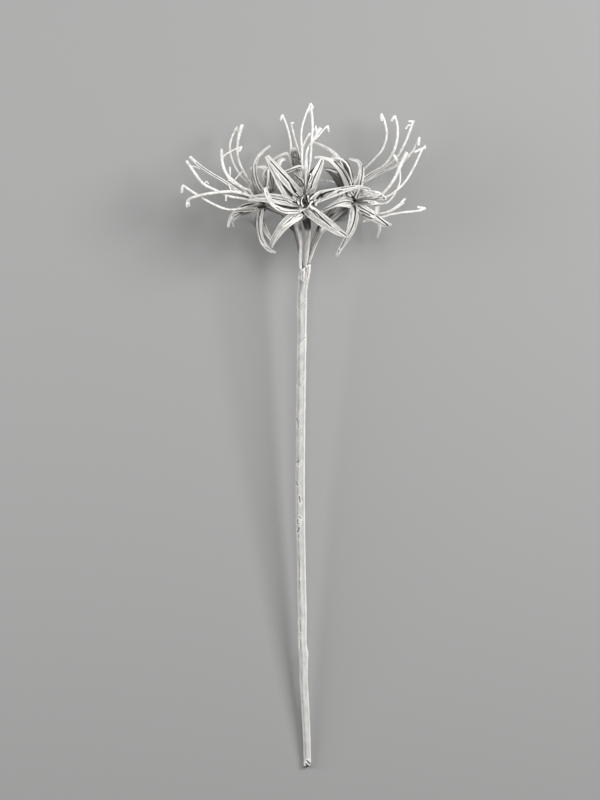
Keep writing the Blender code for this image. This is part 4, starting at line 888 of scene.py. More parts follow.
blooms["right"] = {
    "throatShade": (0.8, 1.8),
    "throatMarks": [(1.0, 0.35, 0.35, 350.6, 202, 351.5, 202), (1.0, 0.7, 0.5, 352.2, 198, 354.3, 198),
        (0.85, 0.4, 0.3, 357.5, 200.8, 364, 200, 371, 199.5, 378, 198.7), (0.6, 0.5, 0.4, 361.5, 198.2,
        367, 197.5, 373, 197), (0.6, 0.4, 0.3, 358, 203.2, 364, 203.5, 371, 204),
        (1.0, 0.75, 0.6, 352.6, 203.5, 353, 206.5), (1.0, 0.5, 0.5, 355.3, 201.2, 356.9, 201.3),
        (1.0, 0.6, 0.6, 351.7, 191, 353.3, 193.3), (1.0, 0.6, 0.6, 356, 192, 354.8, 195.8),
        (0.9, 0.6, 0.5, 359, 193.8, 357.6, 197), (0.8, 0.4, 0.4, 347.5, 196.2, 350.3, 197.8),
        (0.8, 0.35, 0.35, 351.3, 193.5, 351.8, 197.3)],
    "stalkTones": (0.67, 1.0),
    "ovaryTone": 0.9,
    "axis": (0.78, 0.12, 0.61),
    "throat": (354, 200, 58),
    "pedicel": [(306.7, 277, 50.0, 0.95), (307.6, 267, 51.3, 1.0), (310.4, 257, 52.6, 1.4),
        (315.5, 243, 54.5, 1.7), (320, 233.5, 56.6, 1.7), (322.3, 229.7, 57.3, 2.6),
        (325, 226.5, 57.8, 2.6), (327.5, 224, 58, 1.9)],
    "tube": [(335, 217, 57), (345, 207.5, 55.5)],
    "tepals": [
        ([(350.5, 198.3, 351.5, 208, 62), (344.5, 196.8, 345, 207.3, 66), (338, 199, 339, 206.8, 69),
         (331, 203.7, 332.5, 208.3, 68.5), (325, 208, 326, 211, 66.5), (319.8, 212, 320.6, 213.6, 63)],
         {"tones": [(-0.25, 0.5), (0.0, 0.68), (0.15, 0.78), (0.6, 0.85), (1.0, 1.0)], "rims": (0.25, 0.3),
         "marks": [(1.0, 0.45, 0.4, 351, 202, 347, 201.7, 342, 202.3, 336.5, 204.2, 330, 207.4, 323, 210.4),
         (-0.28, 0.9, 0.8, 350, 205.8, 344, 204.8, 338, 205.8, 332, 208.2, 326, 210.8),
         (0.4, 0.3, 0.3, 350, 199.3, 345, 199.1, 340, 200.2)]}),
        ([(349.8, 213, 357, 211, 66), (348.3, 221, 358.5, 218, 67), (346.3, 230, 356, 228, 66),
         (342.5, 240, 350, 238.5, 61.5), (338.8, 248, 344, 247, 56.5), (335.6, 255.8, 337.8, 257, 52)],
         {"marks": [(1.0, 0.8, 0.6, 355, 206, 355.2, 212, 354.7, 218), (0.95, 0.65, 0.4, 354.7, 218,
         353.6, 223, 352, 228, 350, 232, 347.6, 236), (-0.25, 0.5, 0.5, 352.8, 208, 353.4, 213, 353.1, 218),
         (0.35, 1.0, 0.7, 351, 213, 350.8, 219), (0.95, 0.5, 0.4, 345.5, 239, 343, 243.5, 340.6, 248.3),
         (0.9, 0.5, 0.5, 338.8, 250.8, 338.3, 252.3)]}),
        ([(361, 190.5, 359, 198.5, 66), (368, 190.8, 367, 199, 69), (376, 191.3, 376, 199.5, 70),
         (382, 193.5, 381.5, 200, 68), (386.5, 198.3, 385.5, 201, 66)],
         {"wave": 0.5, "mottle": 0.3, "marks": [(0.85, 0.35, 0.4, 355.5, 199.6, 363, 200, 371.5, 200),
         (0.5, 0.4, 0.4, 364.5, 196.8, 368, 198.2, 371, 197), (0.65, 0.4, 0.4, 373, 198.9, 376, 199.4),
         (0.7, 0.4, 0.4, 378, 196.8, 381.5, 196), (0.8, 0.35, 0.35, 382.8, 197.5, 384, 198.4),
         (0.45, 0.4, 0.4, 366, 192.8, 371, 194), (-0.25, 0.5, 0.5, 360.5, 197.4, 367, 196.2, 373, 195,
         379, 196), (-0.25, 0.6, 0.6, 370, 191.5, 377, 191.3, 380.5, 193.5), (-0.3, 0.7, 0.7, 370.5, 199.8,
         375, 197.3, 377.5, 198.3)]}),
        ([(362, 200.3, 361, 203.5, 66.5), (371, 200.7, 369.5, 205, 69.5), (378.3, 203.5, 374.5, 206, 70),
         (379, 211, 375, 211, 68.8), (376.5, 218.5, 373.5, 215.5, 67.5), (370, 221.5, 369, 218.8, 65.5),
         (363.2, 222.7, 363, 220.3, 63.5)],
         {"mottle": 0.25, "marks": [(0.75, 0.3, 0.3, 358, 202.2, 368, 202.6), (0.7, 0.3, 0.3, 359, 204.7,
         366, 205.2), (-0.3, 1.2, 1.2, 376, 203.8, 376.4, 213), (0.85, 0.4, 0.4, 371.5, 206.3, 379, 205),
         (-0.28, 0.9, 0.9, 372, 218.8, 365, 219.8, 363, 221.8)]}),
        ([(358, 204, 355.5, 208, 63), (365, 205.5, 360, 213, 66), (373, 212, 366, 218.5, 68),
         (380, 217, 375.5, 222.8, 67), (387, 222, 383.5, 227, 64), (392, 224.4, 391, 226.3, 61)],
         {"rims": (0.3, 0.2), "marks": [(0.9, 0.3, 0.3, 358.5, 205.9, 363, 208.8, 368, 211.8, 373.5, 215),
         (1.0, 0.28, 0.28, 359.5, 210.6, 365, 213, 370, 215.6), (0.8, 0.6, 0.5, 362.5, 214.5, 367, 217,
         372, 218.6), (-0.35, 0.6, 0.6, 354.5, 204.5, 360, 209.2, 365, 212, 373, 216.5),
         (-0.3, 0.5, 0.5, 366, 206, 370, 209, 373, 213.5), (-0.3, 0.5, 0.5, 363, 212.5, 368, 215.5,
         372.5, 217.5), (1.0, 0.3, 0.3, 376.3, 215.9, 380.3, 219.4, 384.3, 222.4, 387.5, 225.2),
         (0.35, 0.4, 0.4, 376, 220.5, 381, 223.5, 386, 226)]}),
        ([(354.5, 186.5, 361.8, 186.5, 63), (357, 178, 363.6, 177, 66.8),
         (358.8, 169.5, 363.4, 168.5, 66.5), (357, 163, 359.6, 160.7, 62), (352.5, 161, 353.3, 158.7, 58.5),
         (349, 159.4, 349.2, 157.8, 55)],
         {"tones": [(0.0, 0.68), (0.5, 0.8), (0.72, 0.95), (1.0, 0.97)],
         "marks": [(1.0, 0.4, 0.5, 362.3, 166, 362.4, 171, 361.9, 176, 361, 181, 360, 185),
         (0.35, 0.6, 0.5, 361, 163.5, 361.5, 168, 360.8, 174), (1.0, 0.5, 0.7, 356.2, 177.5, 354.4, 181,
         352.6, 184.6)]}),
    ],
    "filaments": [
        ([(372, 199, 63), (386, 197, 65), (396, 191, 68), (405, 182, 69), (413, 169, 69), (419.5, 155, 67),
         (422.5, 148.5, 65)], [(414.5, 152.3, 64.5), (425.5, 147.3, 65)], [(0, 2.1), (1, 2.3)], False),
        ([(370, 198, 63), (382, 194, 66), (393, 181, 71), (400, 166.5, 73), (406.5, 153, 72)],
         [(403, 160, 72.5), (406.5, 153, 72)], [(0, 2.2), (0.6, 3.2), (1, 4.0)], False),
        ([(370, 202.5, 62), (385, 203.5, 64), (393, 196.5, 66), (399, 185, 68), (400, 174, 69),
         (398, 163.5, 69), (394, 155.5, 68)], [(395.5, 159, 68.4), (393.8, 155, 68)], [(0, 1.9), (1, 1.8)],
         False),
        ([(366, 206, 60), (378, 213.5, 61), (390, 210.5, 63), (398, 205.5, 65), (404.5, 200, 64)],
         [(401, 203, 64.5), (405, 199, 64)], [(0, 1.9), (1, 1.9)], False),
        ([(367, 209, 56.5), (379, 217, 57), (390, 214.8, 59), (404, 212.5, 62), (418, 211, 62),
         (425, 208.7, 61)], [(425, 208.5, 61), (417.5, 207.3, 61)], [(0, 2.2), (1, 2.6)], False),
    ],
    "bits": [
        ([(423.5, 148, 65), (425, 145.4, 65), (426.8, 147, 65), (425, 149, 65), (423.6, 148, 65)],
         [(0, 1.0), (1, 1.0)]),
        ([(398, 163, 68.8), (397.2, 159.5, 68.5), (395.4, 156, 68)], [(0, 1.4), (1, 1.3)]),
        ([(359.2, 189.5, 70), (357, 194, 69), (355.5, 197.8, 67.5)], [(0, 2.2), (1, 2.2)]),
        ([(357, 190, 68), (354.6, 193.4, 67), (353.3, 195.3, 66)], [(0, 1.4), (0.7, 1.4), (1, 2.6)]),
        ([(358.3, 197.5, 68.5), (361, 197.3, 70), (363.5, 197, 71)], [(0, 1.2), (1, 1.2)]),
        ([(347.6, 194.8, 67), (349.2, 195.2, 67.5), (350.8, 197, 67)], [(0, 2.0), (0.5, 3.0), (1, 2.2)]),
        ([(350.6, 191.5, 67), (352, 193.6, 66.5), (353.2, 195.3, 66)], [(0, 1.4), (1, 1.6)]),
        ([(363.5, 187.2, 68), (366.5, 187.8, 68), (369.3, 188.8, 67.5), (370, 190.6, 67)], [(0, 1.6),
         (1, 1.5)]),
        ([(362.5, 190, 68), (365.2, 189.8, 68), (368.5, 191, 68)], [(0, 1.5), (1, 1.3)]),
        ([(363.4, 169, 64), (363.8, 175, 65), (363.1, 180, 65), (362, 185.5, 65)], [(0, 1.7), (1, 1.7)]),
        ([(351.9, 183.3, 62), (354.1, 179.8, 63), (355.8, 176.2, 63.5)], [(0, 1.5), (1, 1.5)]),
        ([(404.5, 156.3, 68), (399, 159.7, 67), (393, 160.8, 66)], [(0, 1.5), (1, 1.5)]),
        ([(357, 209.6, 66), (359.2, 211.7, 66)], [(0, 1.8), (1, 1.6)]),
        ([(371.2, 202.8, 70), (372.8, 204.2, 70), (373.6, 206, 69.5)], [(0, 1.8), (1, 1.6)]),
        ([(376, 214, 60.8), (388, 212.5, 62.3), (397, 208, 64), (404, 203, 64)], [(0, 1.6), (1, 1.6)]),
    ],
}
blooms["rear_left"] = {
    "throatShade": (2.0, 4.0),
    "stalkTones": (0.42, 0.5),
    "ovaryTone": 0.3,
    "axis": (-0.5, 0.5, -0.7),
    "throat": (270, 196, 30),
    "pedicel": [(301.5, 277, 47.5, 0.95), (301.9, 266, 48.6, 1.0), (300.4, 256, 48, 1.0),
        (297.3, 243, 46, 0.8), (294.6, 232.5, 44, 0.85), (293.1, 229, 43.3, 1.5), (290.6, 225, 42.4, 2.0),
        (289, 222.5, 41.8, 1.7)],
    "tube": [(281, 211, 38), (274.5, 202, 34)],
    "tepals": [
        ([(266, 190, 272, 189, 41), (262.5, 181, 270, 180, 46.5), (263.5, 172, 269, 170.5, 47),
         (267.3, 167, 269.5, 167, 46)],
         {"tones": [(0.0, 0.56), (0.6, 0.6), (1.0, 0.7)], "marks": [(-0.3, 0.45, 0.45, 267.5, 167,
         264.6, 171, 262.2, 177, 261, 182), (-0.15, 0.6, 0.6, 264.2, 172.5, 263.8, 180, 264.6, 185),
         (0.4, 0.6, 0.6, 266.3, 171.5, 265.8, 178, 266, 183), (-0.4, 0.8, 0.8, 268.5, 170, 268, 178,
         267, 184, 268.5, 187)]}),
        ([(271, 190, 277, 189, 40), (270.5, 180, 277.5, 179.5, 43), (269.5, 172, 275, 173, 42),
         (271.5, 169, 273, 170, 41)],
         {"tones": [(0.0, 0.56), (0.6, 0.62), (1.0, 0.68)], "marks": [(0.8, 0.28, 0.28, 270, 172, 271, 180,
         271.5, 186), (-0.2, 0.5, 0.5, 272, 171.5, 275, 179, 276, 185), (0.5, 0.5, 0.5, 273.3, 176,
         274, 184)]}),
        ([(263.8, 186, 266.6, 185, 38), (264, 176, 266.9, 175, 41), (262.8, 168.8, 266, 166.4, 41.5),
         (257, 168.1, 257.3, 166, 39.5), (250.4, 169.2, 250.4, 167.4, 36)],
         {"tones": [(0.0, 0.4), (0.4, 0.75), (0.6, 0.95), (1.0, 0.95)], "streaks": 0.2, "marks": []}),
        ([(268, 206, 262, 205.5, 21), (263, 214, 257, 213.5, 12), (260.3, 221.5, 254.7, 221, 4.1),
         (260.8, 229.5, 255.5, 230, 0.0), (262.5, 237.5, 259.5, 238.8, 2.2)],
         {"tones": shadeTones}),
        ([(258, 200, 259, 194, 22), (247, 198, 248, 192.3, 16), (238, 195, 238, 193, 12)],
         {"tones": shadeTones}),
        ([(274.5, 186, 278.5, 185.5, 37), (274, 172.5, 279, 173, 43), (276.3, 163, 281, 164.5, 46),
         (281.5, 157.6, 283.5, 160.7, 45), (288, 159.2, 287.5, 161.2, 42)],
         {"tones": [(0.0, 0.6), (0.5, 0.85), (1.0, 0.95)], "marks": []}),
    ],
    "filaments": [
        ([(259, 190.5, 23), (251, 182, 25), (243, 170, 28), (238, 157, 31), (237.7, 143, 34),
         (240, 131, 36), (242, 124.5, 36)], [(241, 130, 36), (242.2, 124.6, 36)], [(0, 1.9), (0.78, 2.4),
         (0.9, 3.4), (1, 4.0)], False),
        ([(257, 189, 19), (248, 182, 21), (240, 174, 24), (233, 161.5, 27), (229.8, 148, 30),
         (231.5, 138, 32), (237, 126.5, 33)], [(237, 126.5, 33), (238.5, 131.5, 33)], [(0, 2.1), (1, 2.2)],
         False),
        ([(260, 184, 17), (256, 172, 13), (257, 160, 13), (263, 151, 15)], [(261, 154, 14.5),
         (264, 149.5, 15.5)], [(0, 2.0), (1, 2.0)], False),
    ],
    "bits": [],
}
blooms["rear_right"] = {
    "throatShade": (2.0, 4.0),
    "stalkTones": (0.5, 0.75),
    "ovaryTone": 0.2,
    "axis": (0.5, 0.5, -0.7),
    "throat": (344, 194, 30),
    "pedicel": [(306.7, 277, 47.5, 0.95), (307.6, 266, 48.6, 1.0), (309, 256, 48, 1.0),
        (312.2, 243, 46.4, 0.75), (316.6, 232.5, 44.6, 0.8), (318.4, 229, 43.8, 1.5), (321, 225, 43, 2.0),
        (322.6, 222.5, 42.4, 1.7)],
    "tube": [(331, 210, 38), (338.5, 201, 34)],
    "tepals": [
        ([(345, 187.5, 352, 186, 42), (341.5, 177.5, 348.5, 176, 49.5), (336, 168.5, 342.5, 166.8, 54),
         (329, 161.5, 333, 159.5, 54), (321, 158.7, 321.5, 156.2, 51), (314.5, 158.6, 314.5, 156.5, 48)],
         {"tones": [(0.0, 1.0), (1.0, 1.0)], "streaks": 0.1, "mottle": 0.05,
         "marks": [(1.0, 0.26, 0.28, 334, 161, 337, 164, 339.8, 167, 342.4, 170, 344.6, 173.5, 346.6, 177,
         348.3, 180.5, 350, 185), (0.6, 0.22, 0.25, 336, 161.3, 338.8, 163.5, 341.5, 166.5, 344.2, 170,
         346.3, 173.5, 348.2, 177.5, 349.8, 181.5)]}),
        ([(347, 185, 353.5, 184, 37), (345.5, 174, 352, 172, 43), (341.5, 165.5, 347.5, 161.5, 45),
         (337, 160.5, 338.5, 157, 43), (331, 159.8, 331, 157.2, 39)],
         {"tones": [(0.0, 0.22), (0.6, 0.28), (0.8, 0.8), (1.0, 0.9)], "rims": (0.0, 0.0),
         "marks": [(-0.75, 0.9, 0.8, 331, 158.4, 337, 157.8, 342, 159.4, 346, 162.6, 349.2, 167.8,
         350.7, 173, 352.3, 180), (-0.7, 0.7, 0.6, 340.5, 161, 342.5, 164.5, 343.4, 168.5)]}),
        ([(341, 181, 346, 180, 34), (337.5, 165.5, 343.5, 163.5, 39), (332, 155, 336, 152.5, 40),
         (323.5, 147.3, 324.5, 145, 37), (312.8, 142.8, 313.2, 140.9, 31)],
         {"tones": [(0.0, 0.6), (0.5, 0.85), (1.0, 0.96)], "streaks": 0.2,
         "marks": [(0.4, 0.5, 0.5, 328.5, 150.5, 333, 155)]}),
        ([(337, 185.5, 342.5, 182, 36), (331, 175.5, 339, 172.5, 38), (326.5, 170.9, 333, 168.5, 37),
         (324, 169.6, 324.3, 167.4, 31)],
         {"tones": [(0.0, 0.32), (1.0, 0.4)], "rims": (0.0, 0.0), "fold": 0.2,
         "marks": [(-0.75, 0.7, 0.7, 323.8, 169, 327, 169.3, 331.5, 170.3, 337, 172.3),
         (-0.2, 0.5, 0.5, 327, 169.8, 331, 170.6, 335, 173, 339, 177)]}),
        ([(349, 207, 344, 203.5, 21), (346.5, 214.5, 341.5, 208, 11), (339.5, 219.5, 336.5, 211.5, 4),
         (331.5, 222, 330, 214, 0.5), (324, 220.3, 324, 217.7, 2.6)],
         {"tones": [(0.0, 0.28), (1.0, 0.32)], "rims": (0.0, 0.0), "halves": (0.16, -0.05), "fold": 0.2,
         "wave": 0.6, "mottle": 0.15, "marks": [(-0.3, 0.35, 0.35, 327, 214, 338, 209.5),
         (-0.3, 0.35, 0.35, 331, 217, 340, 213.5, 345, 211), (-0.25, 0.35, 0.35, 333, 219, 341, 217.5,
         347, 214.5)]}),
        ([(356, 202, 358.5, 197, 24), (367, 211, 369.5, 206, 22), (375.5, 219, 379, 217, 25),
         (378.8, 228.5, 381.3, 228.5, 26), (376, 236.5, 378, 237.7, 22)],
         {"tones": [(0.0, 0.4), (0.5, 0.5), (0.66, 0.95), (1.0, 0.96)], "streaks": 0.15, "mottle": 0.05}),
    ],
    "filaments": [
        ([(356, 180, 20), (363.5, 169.5, 22), (373, 160, 28), (382.5, 149, 33), (386.8, 135, 36),
         (385, 122, 37), (381.5, 113.5, 37)], [(381.5, 113.5, 37), (381.5, 120.5, 37)], [(0, 2.1),
         (1, 2.3)], False),
        ([(357, 183, 18), (370, 172.8, 22), (384, 164.8, 28), (393.5, 151.5, 33), (397.5, 137, 36),
         (397.5, 125, 37), (395, 115.5, 37)], [(395, 115.5, 37), (391.5, 120.5, 37)], [(0, 1.2),
         (0.38, 1.5), (0.52, 2.2), (0.66, 2.7), (1, 2.3)], False),
        ([(358, 185, 14), (372, 174.2, 17), (385, 166.6, 22), (396, 158, 28), (404.5, 144, 33),
         (409.5, 132, 36), (413, 122, 37)], [(409, 121, 37), (414.5, 121.3, 37)], [(0, 1.2), (0.42, 1.5),
         (0.55, 2.4), (0.68, 2.7), (1, 2.2)], False),
        ([(358, 187, 11), (367, 180, 12), (381, 171, 16), (395, 165.5, 21), (410, 154, 27), (416, 145, 31),
         (419, 138, 33)], [(419.5, 137, 33), (418.5, 145, 33)], [(0, 1.2), (0.5, 1.4), (0.68, 2.0),
         (1, 2.2)], False),
        ([(347, 184, 17), (339, 183.5, 17), (330, 180.7, 20), (320, 180.3, 22)], [(323, 180.4, 21.5),
         (319.5, 180.3, 22)], [(0, 2.0), (1, 2.0)], False),
    ],
    "bits": [
        ([(411.5, 125.5, 36.8), (408.5, 125, 36.8), (405.8, 128.5, 36.5)], [(0, 1.8), (0.5, 2.6),
         (1, 2.9)]),
        ([(410, 155.5, 27), (405, 160.5, 24), (398, 165.5, 21.5), (385, 171.5, 17.5), (375, 176.5, 14.5),
         (364, 182.5, 12)], [(0, 1.2), (1, 0.9)]),
    ],
}
blooms["rear"] = {
    "throatShade": (0.6, 1.6),
    "stalkTones": (0.3, 0.35),
    "ovaryTone": 0.2,
    "axis": (0.0, 0.65, -0.76),
    "throat": (301, 190, 30),
    "pedicel": [(304.2, 277, 46.3, 0.95), (304.9, 266, 47.4, 1.0), (306, 256, 45.6, 1.1),
        (307, 243, 43, 1.2), (307.3, 232.5, 41, 1.3), (306.8, 228, 40.2, 1.8), (305.8, 223, 39.2, 2.0),
        (304.6, 220, 38.7, 1.7)],
    "tube": [(303, 209, 36.5), (301.5, 200, 34)],
    "tepals": [
        ([(296.5, 184, 304.5, 183, 42), (294, 173, 303, 172.5, 48), (291.5, 161, 300.5, 160.5, 50),
         (291, 152, 297.5, 151, 48), (292, 147.8, 295, 147.3, 46)],
         {"tones": [(0.0, 0.78), (0.35, 0.68), (0.46, 0.38), (0.85, 0.36), (0.93, 0.85), (1.0, 0.92)],
         "rims": (0.25, 0.0), "mottle": 0.3, "marks": [(0.7, 0.5, 0.5, 292.8, 157, 296, 157.8,
         299.5, 159.5), (-0.2, 0.6, 0.6, 294.5, 153.5, 296, 156), (1.0, 0.35, 0.35, 294.5, 174.5,
         297.5, 176.8, 301.5, 179.8, 303.7, 183.5, 306, 188.5)]}),
        ([(294.5, 177, 297.5, 175.5, 40), (291.5, 164.5, 295, 162.5, 44), (287.5, 155.3, 288.8, 152.4, 44),
         (280.3, 156.6, 279.6, 154.4, 42), (272.5, 161, 272, 159, 37)],
         {"tones": [(0.0, 0.6), (0.4, 0.9), (1.0, 0.96)], "streaks": 0.2, "marks": []}),
        ([(304, 181, 307, 180, 41), (304.5, 170.5, 307.5, 169, 46), (299, 168.5, 299.5, 165, 50),
         (291, 171.5, 291, 168.3, 51), (283.8, 173.3, 284, 170.8, 49)],
         {"tones": [(0.0, 0.7), (0.4, 0.88), (1.0, 0.96)], "marks": [(0.8, 0.25, 0.25, 286.5, 171.8,
         291, 170, 296, 168.3, 300, 167)]}),
        ([(303.6, 184.6, 308.4, 187.4, 24), (307.5, 177, 313.5, 178.5, 17), (310.7, 170.2, 316, 172, 14),
         (317, 165, 318, 166.6, 10)],
         {"tones": shadeTones, "marks": [(0.95, 0.4, 0.4, 308, 176, 311, 171, 314.5, 168)]}),
        ([(290.5, 187.4, 295, 185, 24), (281.8, 178.8, 286.4, 175.8, 15), (275.8, 169.2, 277.4, 168.2, 9)],
         {"tones": shadeTones}),
    ],
    "filaments": [
        ([(301.5, 174, 17), (302.3, 162, 16), (302.6, 150, 21), (306, 139, 26), (311.5, 132.5, 29),
         (316, 127.5, 31)], [(316, 127.5, 31), (317, 133, 31)], [(0, 2.0), (1, 2.1)], False),
        ([(300, 172, 15), (296, 164.5, 20), (291.8, 156, 26), (290.4, 140, 31), (287, 126, 33),
         (282.5, 114.5, 33)], [(282.5, 114.5, 33), (280.5, 120, 33)], [(0, 2.0), (1, 2.1)], False),
        ([(302, 172, 12), (300.8, 160, 14), (298, 149, 22), (295, 139, 27), (291.5, 125, 30)],
         [(290.5, 123.3, 30), (293.5, 122.5, 30)], [(0, 2.0), (1, 2.0)], False),
    ],
    "bits": [],
}
flowerParts = {
    "bladeRows": 72,
    "bladeColumns": 44,
    "seeds": (7, 3.7),  # for each letter of the bloom's name, and for each tepal
    "rootDepth": 4.2,
    "rootRadius": 1.35,
    "rootShare": 0.42,  # width inside the tube and at its rim, as shares of the first traced width
    "rimShare": 0.72,
    "rimRise": 0.7,
    "rimRadius": 2.9,
    "seatGap": 0.35,
    "plug": (-0.6, 1.6),  # mm along the throat's axis
    "plugRows": 8,
    "plugSides": 14,
    "plugRadius": 1.3,
    "plugTaper": 0.03,
    "plugShadeLook": (0.0, 0.1, 0.97),  # extra radius, tone and painted shade: the plug is painted black for the shade in the throat
    "filamentRows": 84,
    "filamentSides": 10,
    "bitRows": 24,
    "hookRows": 12,
    "leave": (0.5, 6.5, 1.4),  # mm out at the root, then along and out from the middle of the throat
    "antherWidth": 2.9,  # tracing steps
    "hookWidths": (0.85, 1, 0.9),  # shares of it at the bend, in the middle and at the tip
    # painted shade over a filament's root, by the throat
    "wireRootShade": 0.8,
    "wireShare": 1.0,  # a wire's width against its traced width, which takes in its soft edges
    "bitShare": 0.74,  # the same for the short strands and scraps
    # each wire of a double filament: its way from the middle, and its width, as shares of the traced width
    "twinGap": 0.28,
    "twinWidth": 0.46,
    "twinPart": (0.2, 0.45),  # shares of the length between which the two part
    "twinShade": 0.95,
    "twinShadeFrom": (0.3, 0.45),
    "twinShadeSide": (0.3, 0.8),
}
tube = {
    "rows": 40,
    "sides": 24,
    # mm from its foot, and from the throat's middle, to the stations that aren't traced
    "foot": 1.5,
    "rims": (3.5, 1.0),
    "radii": (1.7, 1.9, 2.1, 2.5),  # mm at the foot, above it, at the traced stations and at the rim
    "slim": 0.97,
    "skew": 0.3,  # of the turn, so that it also holds where the tube stands up
    "ribs": 6,
    "ribTwist": 2,
    "ribDepth": 0.09,
    # tone of the tube and how far its ribs move it: painted light on the ribs, painted shade between them
    "tone": (0.6, 0.12),
    # painted shade in the grooves and at the rim by the throat
    "ribShade": 0.35,
    "rimShade": 0.5,
    "rimFrom": (0.9, 1.0),
}
stalk = {
    "rows": 60,
    "sides": 24,
    "ribs": 5,
    "ribTwist": 3,
    "grain": (1.5, 9),
    "litSide": (0.1, 0.75),  # slopes to the right between which the lit side begins
    "ovaryFrom": 0.1,  # share of the length in which the ovary swells
    # values on the stalk, and what the swollen ovary adds
    "ribDepth": (0.05, 0.08),
    "blotches": (0.12, 0.2),
    # painted shade in the grooves between the ribs
    "ribShade": (0.3, 0.4),
    "ribShadeFrom": 0.4,
    "crumple": 0.06,
    "darkest": 0.05,
    # a place of the neck tape's slanted upper edge (row, column), and its slope
    "tapeEdge": (270.4, 301, 0.8),
    "tapeShadow": (0.6, 1.0, 0.65),  # tracing steps above that edge, half width, strength
}
wireTape = {
    "turn": 9,  # mm from one turn of the tape to the next
    "skew": 0.01,
    "step": 0.09,
    "seam": (0.06, 0.35),  # painted shadow along the tape's edge: share of a turn, strength
    "grain": (0.35, 2, 9),
    "tone": (0.97, 0.1),
    "clear": 0.1,
    "clearSoft": 0.08,
}


def cloud(across, share, seed, grain):
    wide, tall, shift = grain
    return noise.noise(Vector((across * wide, share * tall, seed + shift)))


def addBlade(shape, tone, ink, edges, turned, hidden, throat, shade, look, seed):
    # a sheet stretched between its two edges; hidden is the share that lies inside the tube
    look = {**bladeDefaults, **look}
    rows = flowerParts["bladeRows"]
    first, second = [smoothRoute(edge, rows + 1) for edge in edges]
    floorClear = look["thickness"] / 2 * mm
    for vertex in addGrid(shape, flowerParts["bladeColumns"], rows):
        across = vertex.co.x
        row = round((vertex.co.y + 1) / 2 * rows)
        share = (row / rows - hidden) / (1 - hidden)
        before, after = max(0, row - 1), min(rows, row + 1)
        along = first[after] + second[after] - first[before] - second[before]
        half = (second[row] - first[row]) / 2
        face = along.cross(half).normalized()
        width = half.length / mm
        seen = -across if turned else across  # -1 at the edge that was traced first
        lift = look["fold"] * width * (abs(across) - look["foldRest"])
        lift += look["wave"] * cloud(across, share, seed, look["waveGrain"])
        lift += look["curl"] * fade(abs(across), *look["curlFrom"])
        flat = first[row] + half * (across + 1)
        # painted shade of the throat
        dark = look["rootShade"] * (1 - fade((flat - throat).xy.length / mm, *shade))
        streak = cloud(seen, share, seed, look["streakGrain"])
        dark = max(dark, look["streaks"] * fade(streak, *look["streakFrom"]))
        pull, lip = markedAt(*traced(flat), look["marks"])
        lift -= look["groove"] * pull
        stretch = 1 + look["edgeWave"] * cloud(math.copysign(1, across), share, seed, look["edgeGrain"])
        bright = blend(look["tones"], share)
        bright += look["halves"][seen > 0] * fade(abs(seen), *look["halfFrom"])
        bright += look["rims"][seen > 0] * fade(abs(seen), *look["rimFrom"])
        bright += lip + look["mottle"] * cloud(seen, share, seed, look["mottleGrain"])
        vertex[tone] = min(1.0, max(look["darkest"], bright))
        vertex[ink] = min(1.0, max(dark, pull))
        vertex.co = first[row] + half * (across * stretch + 1) + face * lift * mm
        vertex.co.z = max(vertex.co.z, floorClear)


def radialFrom(throat, axis, target):
    offset = target - throat
    return (offset - axis * offset.dot(axis)).normalized()


def makeTepals(name, bloom):
    throat = place(bloom["throat"])
    axis = Vector(bloom["axis"]).normalized()
    shape, tone, ink = newShape()
    for index, (stations, look) in enumerate(bloom["tepals"]):
        first = [place((right, down, height)) for right, down, _, _, height in stations]
        second = [place((right, down, height)) for _, _, right, down, height in stations]
        middles = [(start + end) / 2 for start, end in zip(first, second)]
        radial = radialFrom(throat, axis, middles[0])
        root = throat - axis * flowerParts["rootDepth"] * mm + radial * flowerParts["rootRadius"] * mm
        rim = throat + axis * flowerParts["rimRise"] * mm + radial * flowerParts["rimRadius"] * mm
        side = axis.cross(radial).normalized()
        turned = side.dot(second[0] - first[0]) < 0
        if turned:
            first, second = second, first
        half = side * (second[0] - first[0]).length / 2
        rootHalf, rimHalf = half * flowerParts["rootShare"], half * flowerParts["rimShare"]
        edges = ([root - rootHalf, rim - rimHalf, *first], [root + rootHalf, rim + rimHalf, *second])
        inside = (rim - root).length + (middles[0] - rim).length
        outside = sum((end - start).length for start, end in zip(middles, middles[1:]))
        hidden = inside / (inside + outside)
        look = {**look, "marks": asMarks(look.get("marks", []) + bloom.get("throatMarks", []))}
        letterSeed, tepalSeed = flowerParts["seeds"]
        seed = len(name) * letterSeed + index * tepalSeed
        addBlade(shape, tone, ink, edges, turned, hidden, throat, bloom["throatShade"], look, seed)
    finishPiece(name + "Tepals", shape, tepalPaint, bloom["node"] + "_perianth",
                bladeDefaults["thickness"] * mm)


def makeTube(name, bloom):
    throat = place(bloom["throat"])
    axis = Vector(bloom["axis"]).normalized()
    last, end = place(bloom["pedicel"][-2]), place(bloom["pedicel"][-1])
    leave = (end - last).normalized()
    start = end + leave * flowerParts["seatGap"] * mm
    knots = [start, start + leave * tube["foot"] * mm, *[place(point) for point in bloom["tube"]],
             *[throat - axis * below * mm for below in tube["rims"]]]
    foot, above, middle, rim = tube["radii"]
    sizes = [foot, above, *[middle] * len(bloom["tube"]), rim, rim]
    count = tube["rows"]
    table = [(index / (len(sizes) - 1), size) for index, size in enumerate(sizes)]
    radii = [blend(table, index / (count - 1)) * mm * tube["slim"] for index in range(count)]
    shape, tone, ink = newShape()

    def surface(share, outward, length):
        turn = math.atan2(outward.z, outward.x + outward.y * tube["skew"])
        ridge = math.cos(tube["ribs"] * turn + share * tube["ribTwist"])
        plain, added = tube["tone"]
        dark = tube["ribShade"] * max(0.0, -ridge) + tube["rimShade"] * fade(share, *tube["rimFrom"])
        return tube["ribDepth"] * ridge, plain + added * ridge, dark

    addTube(shape, tone, ink, smoothRoute(knots, count), radii, tube["sides"], surface)
    finishPiece(name + "Tube", shape, tepalPaint, bloom["node"] + "_perianth")


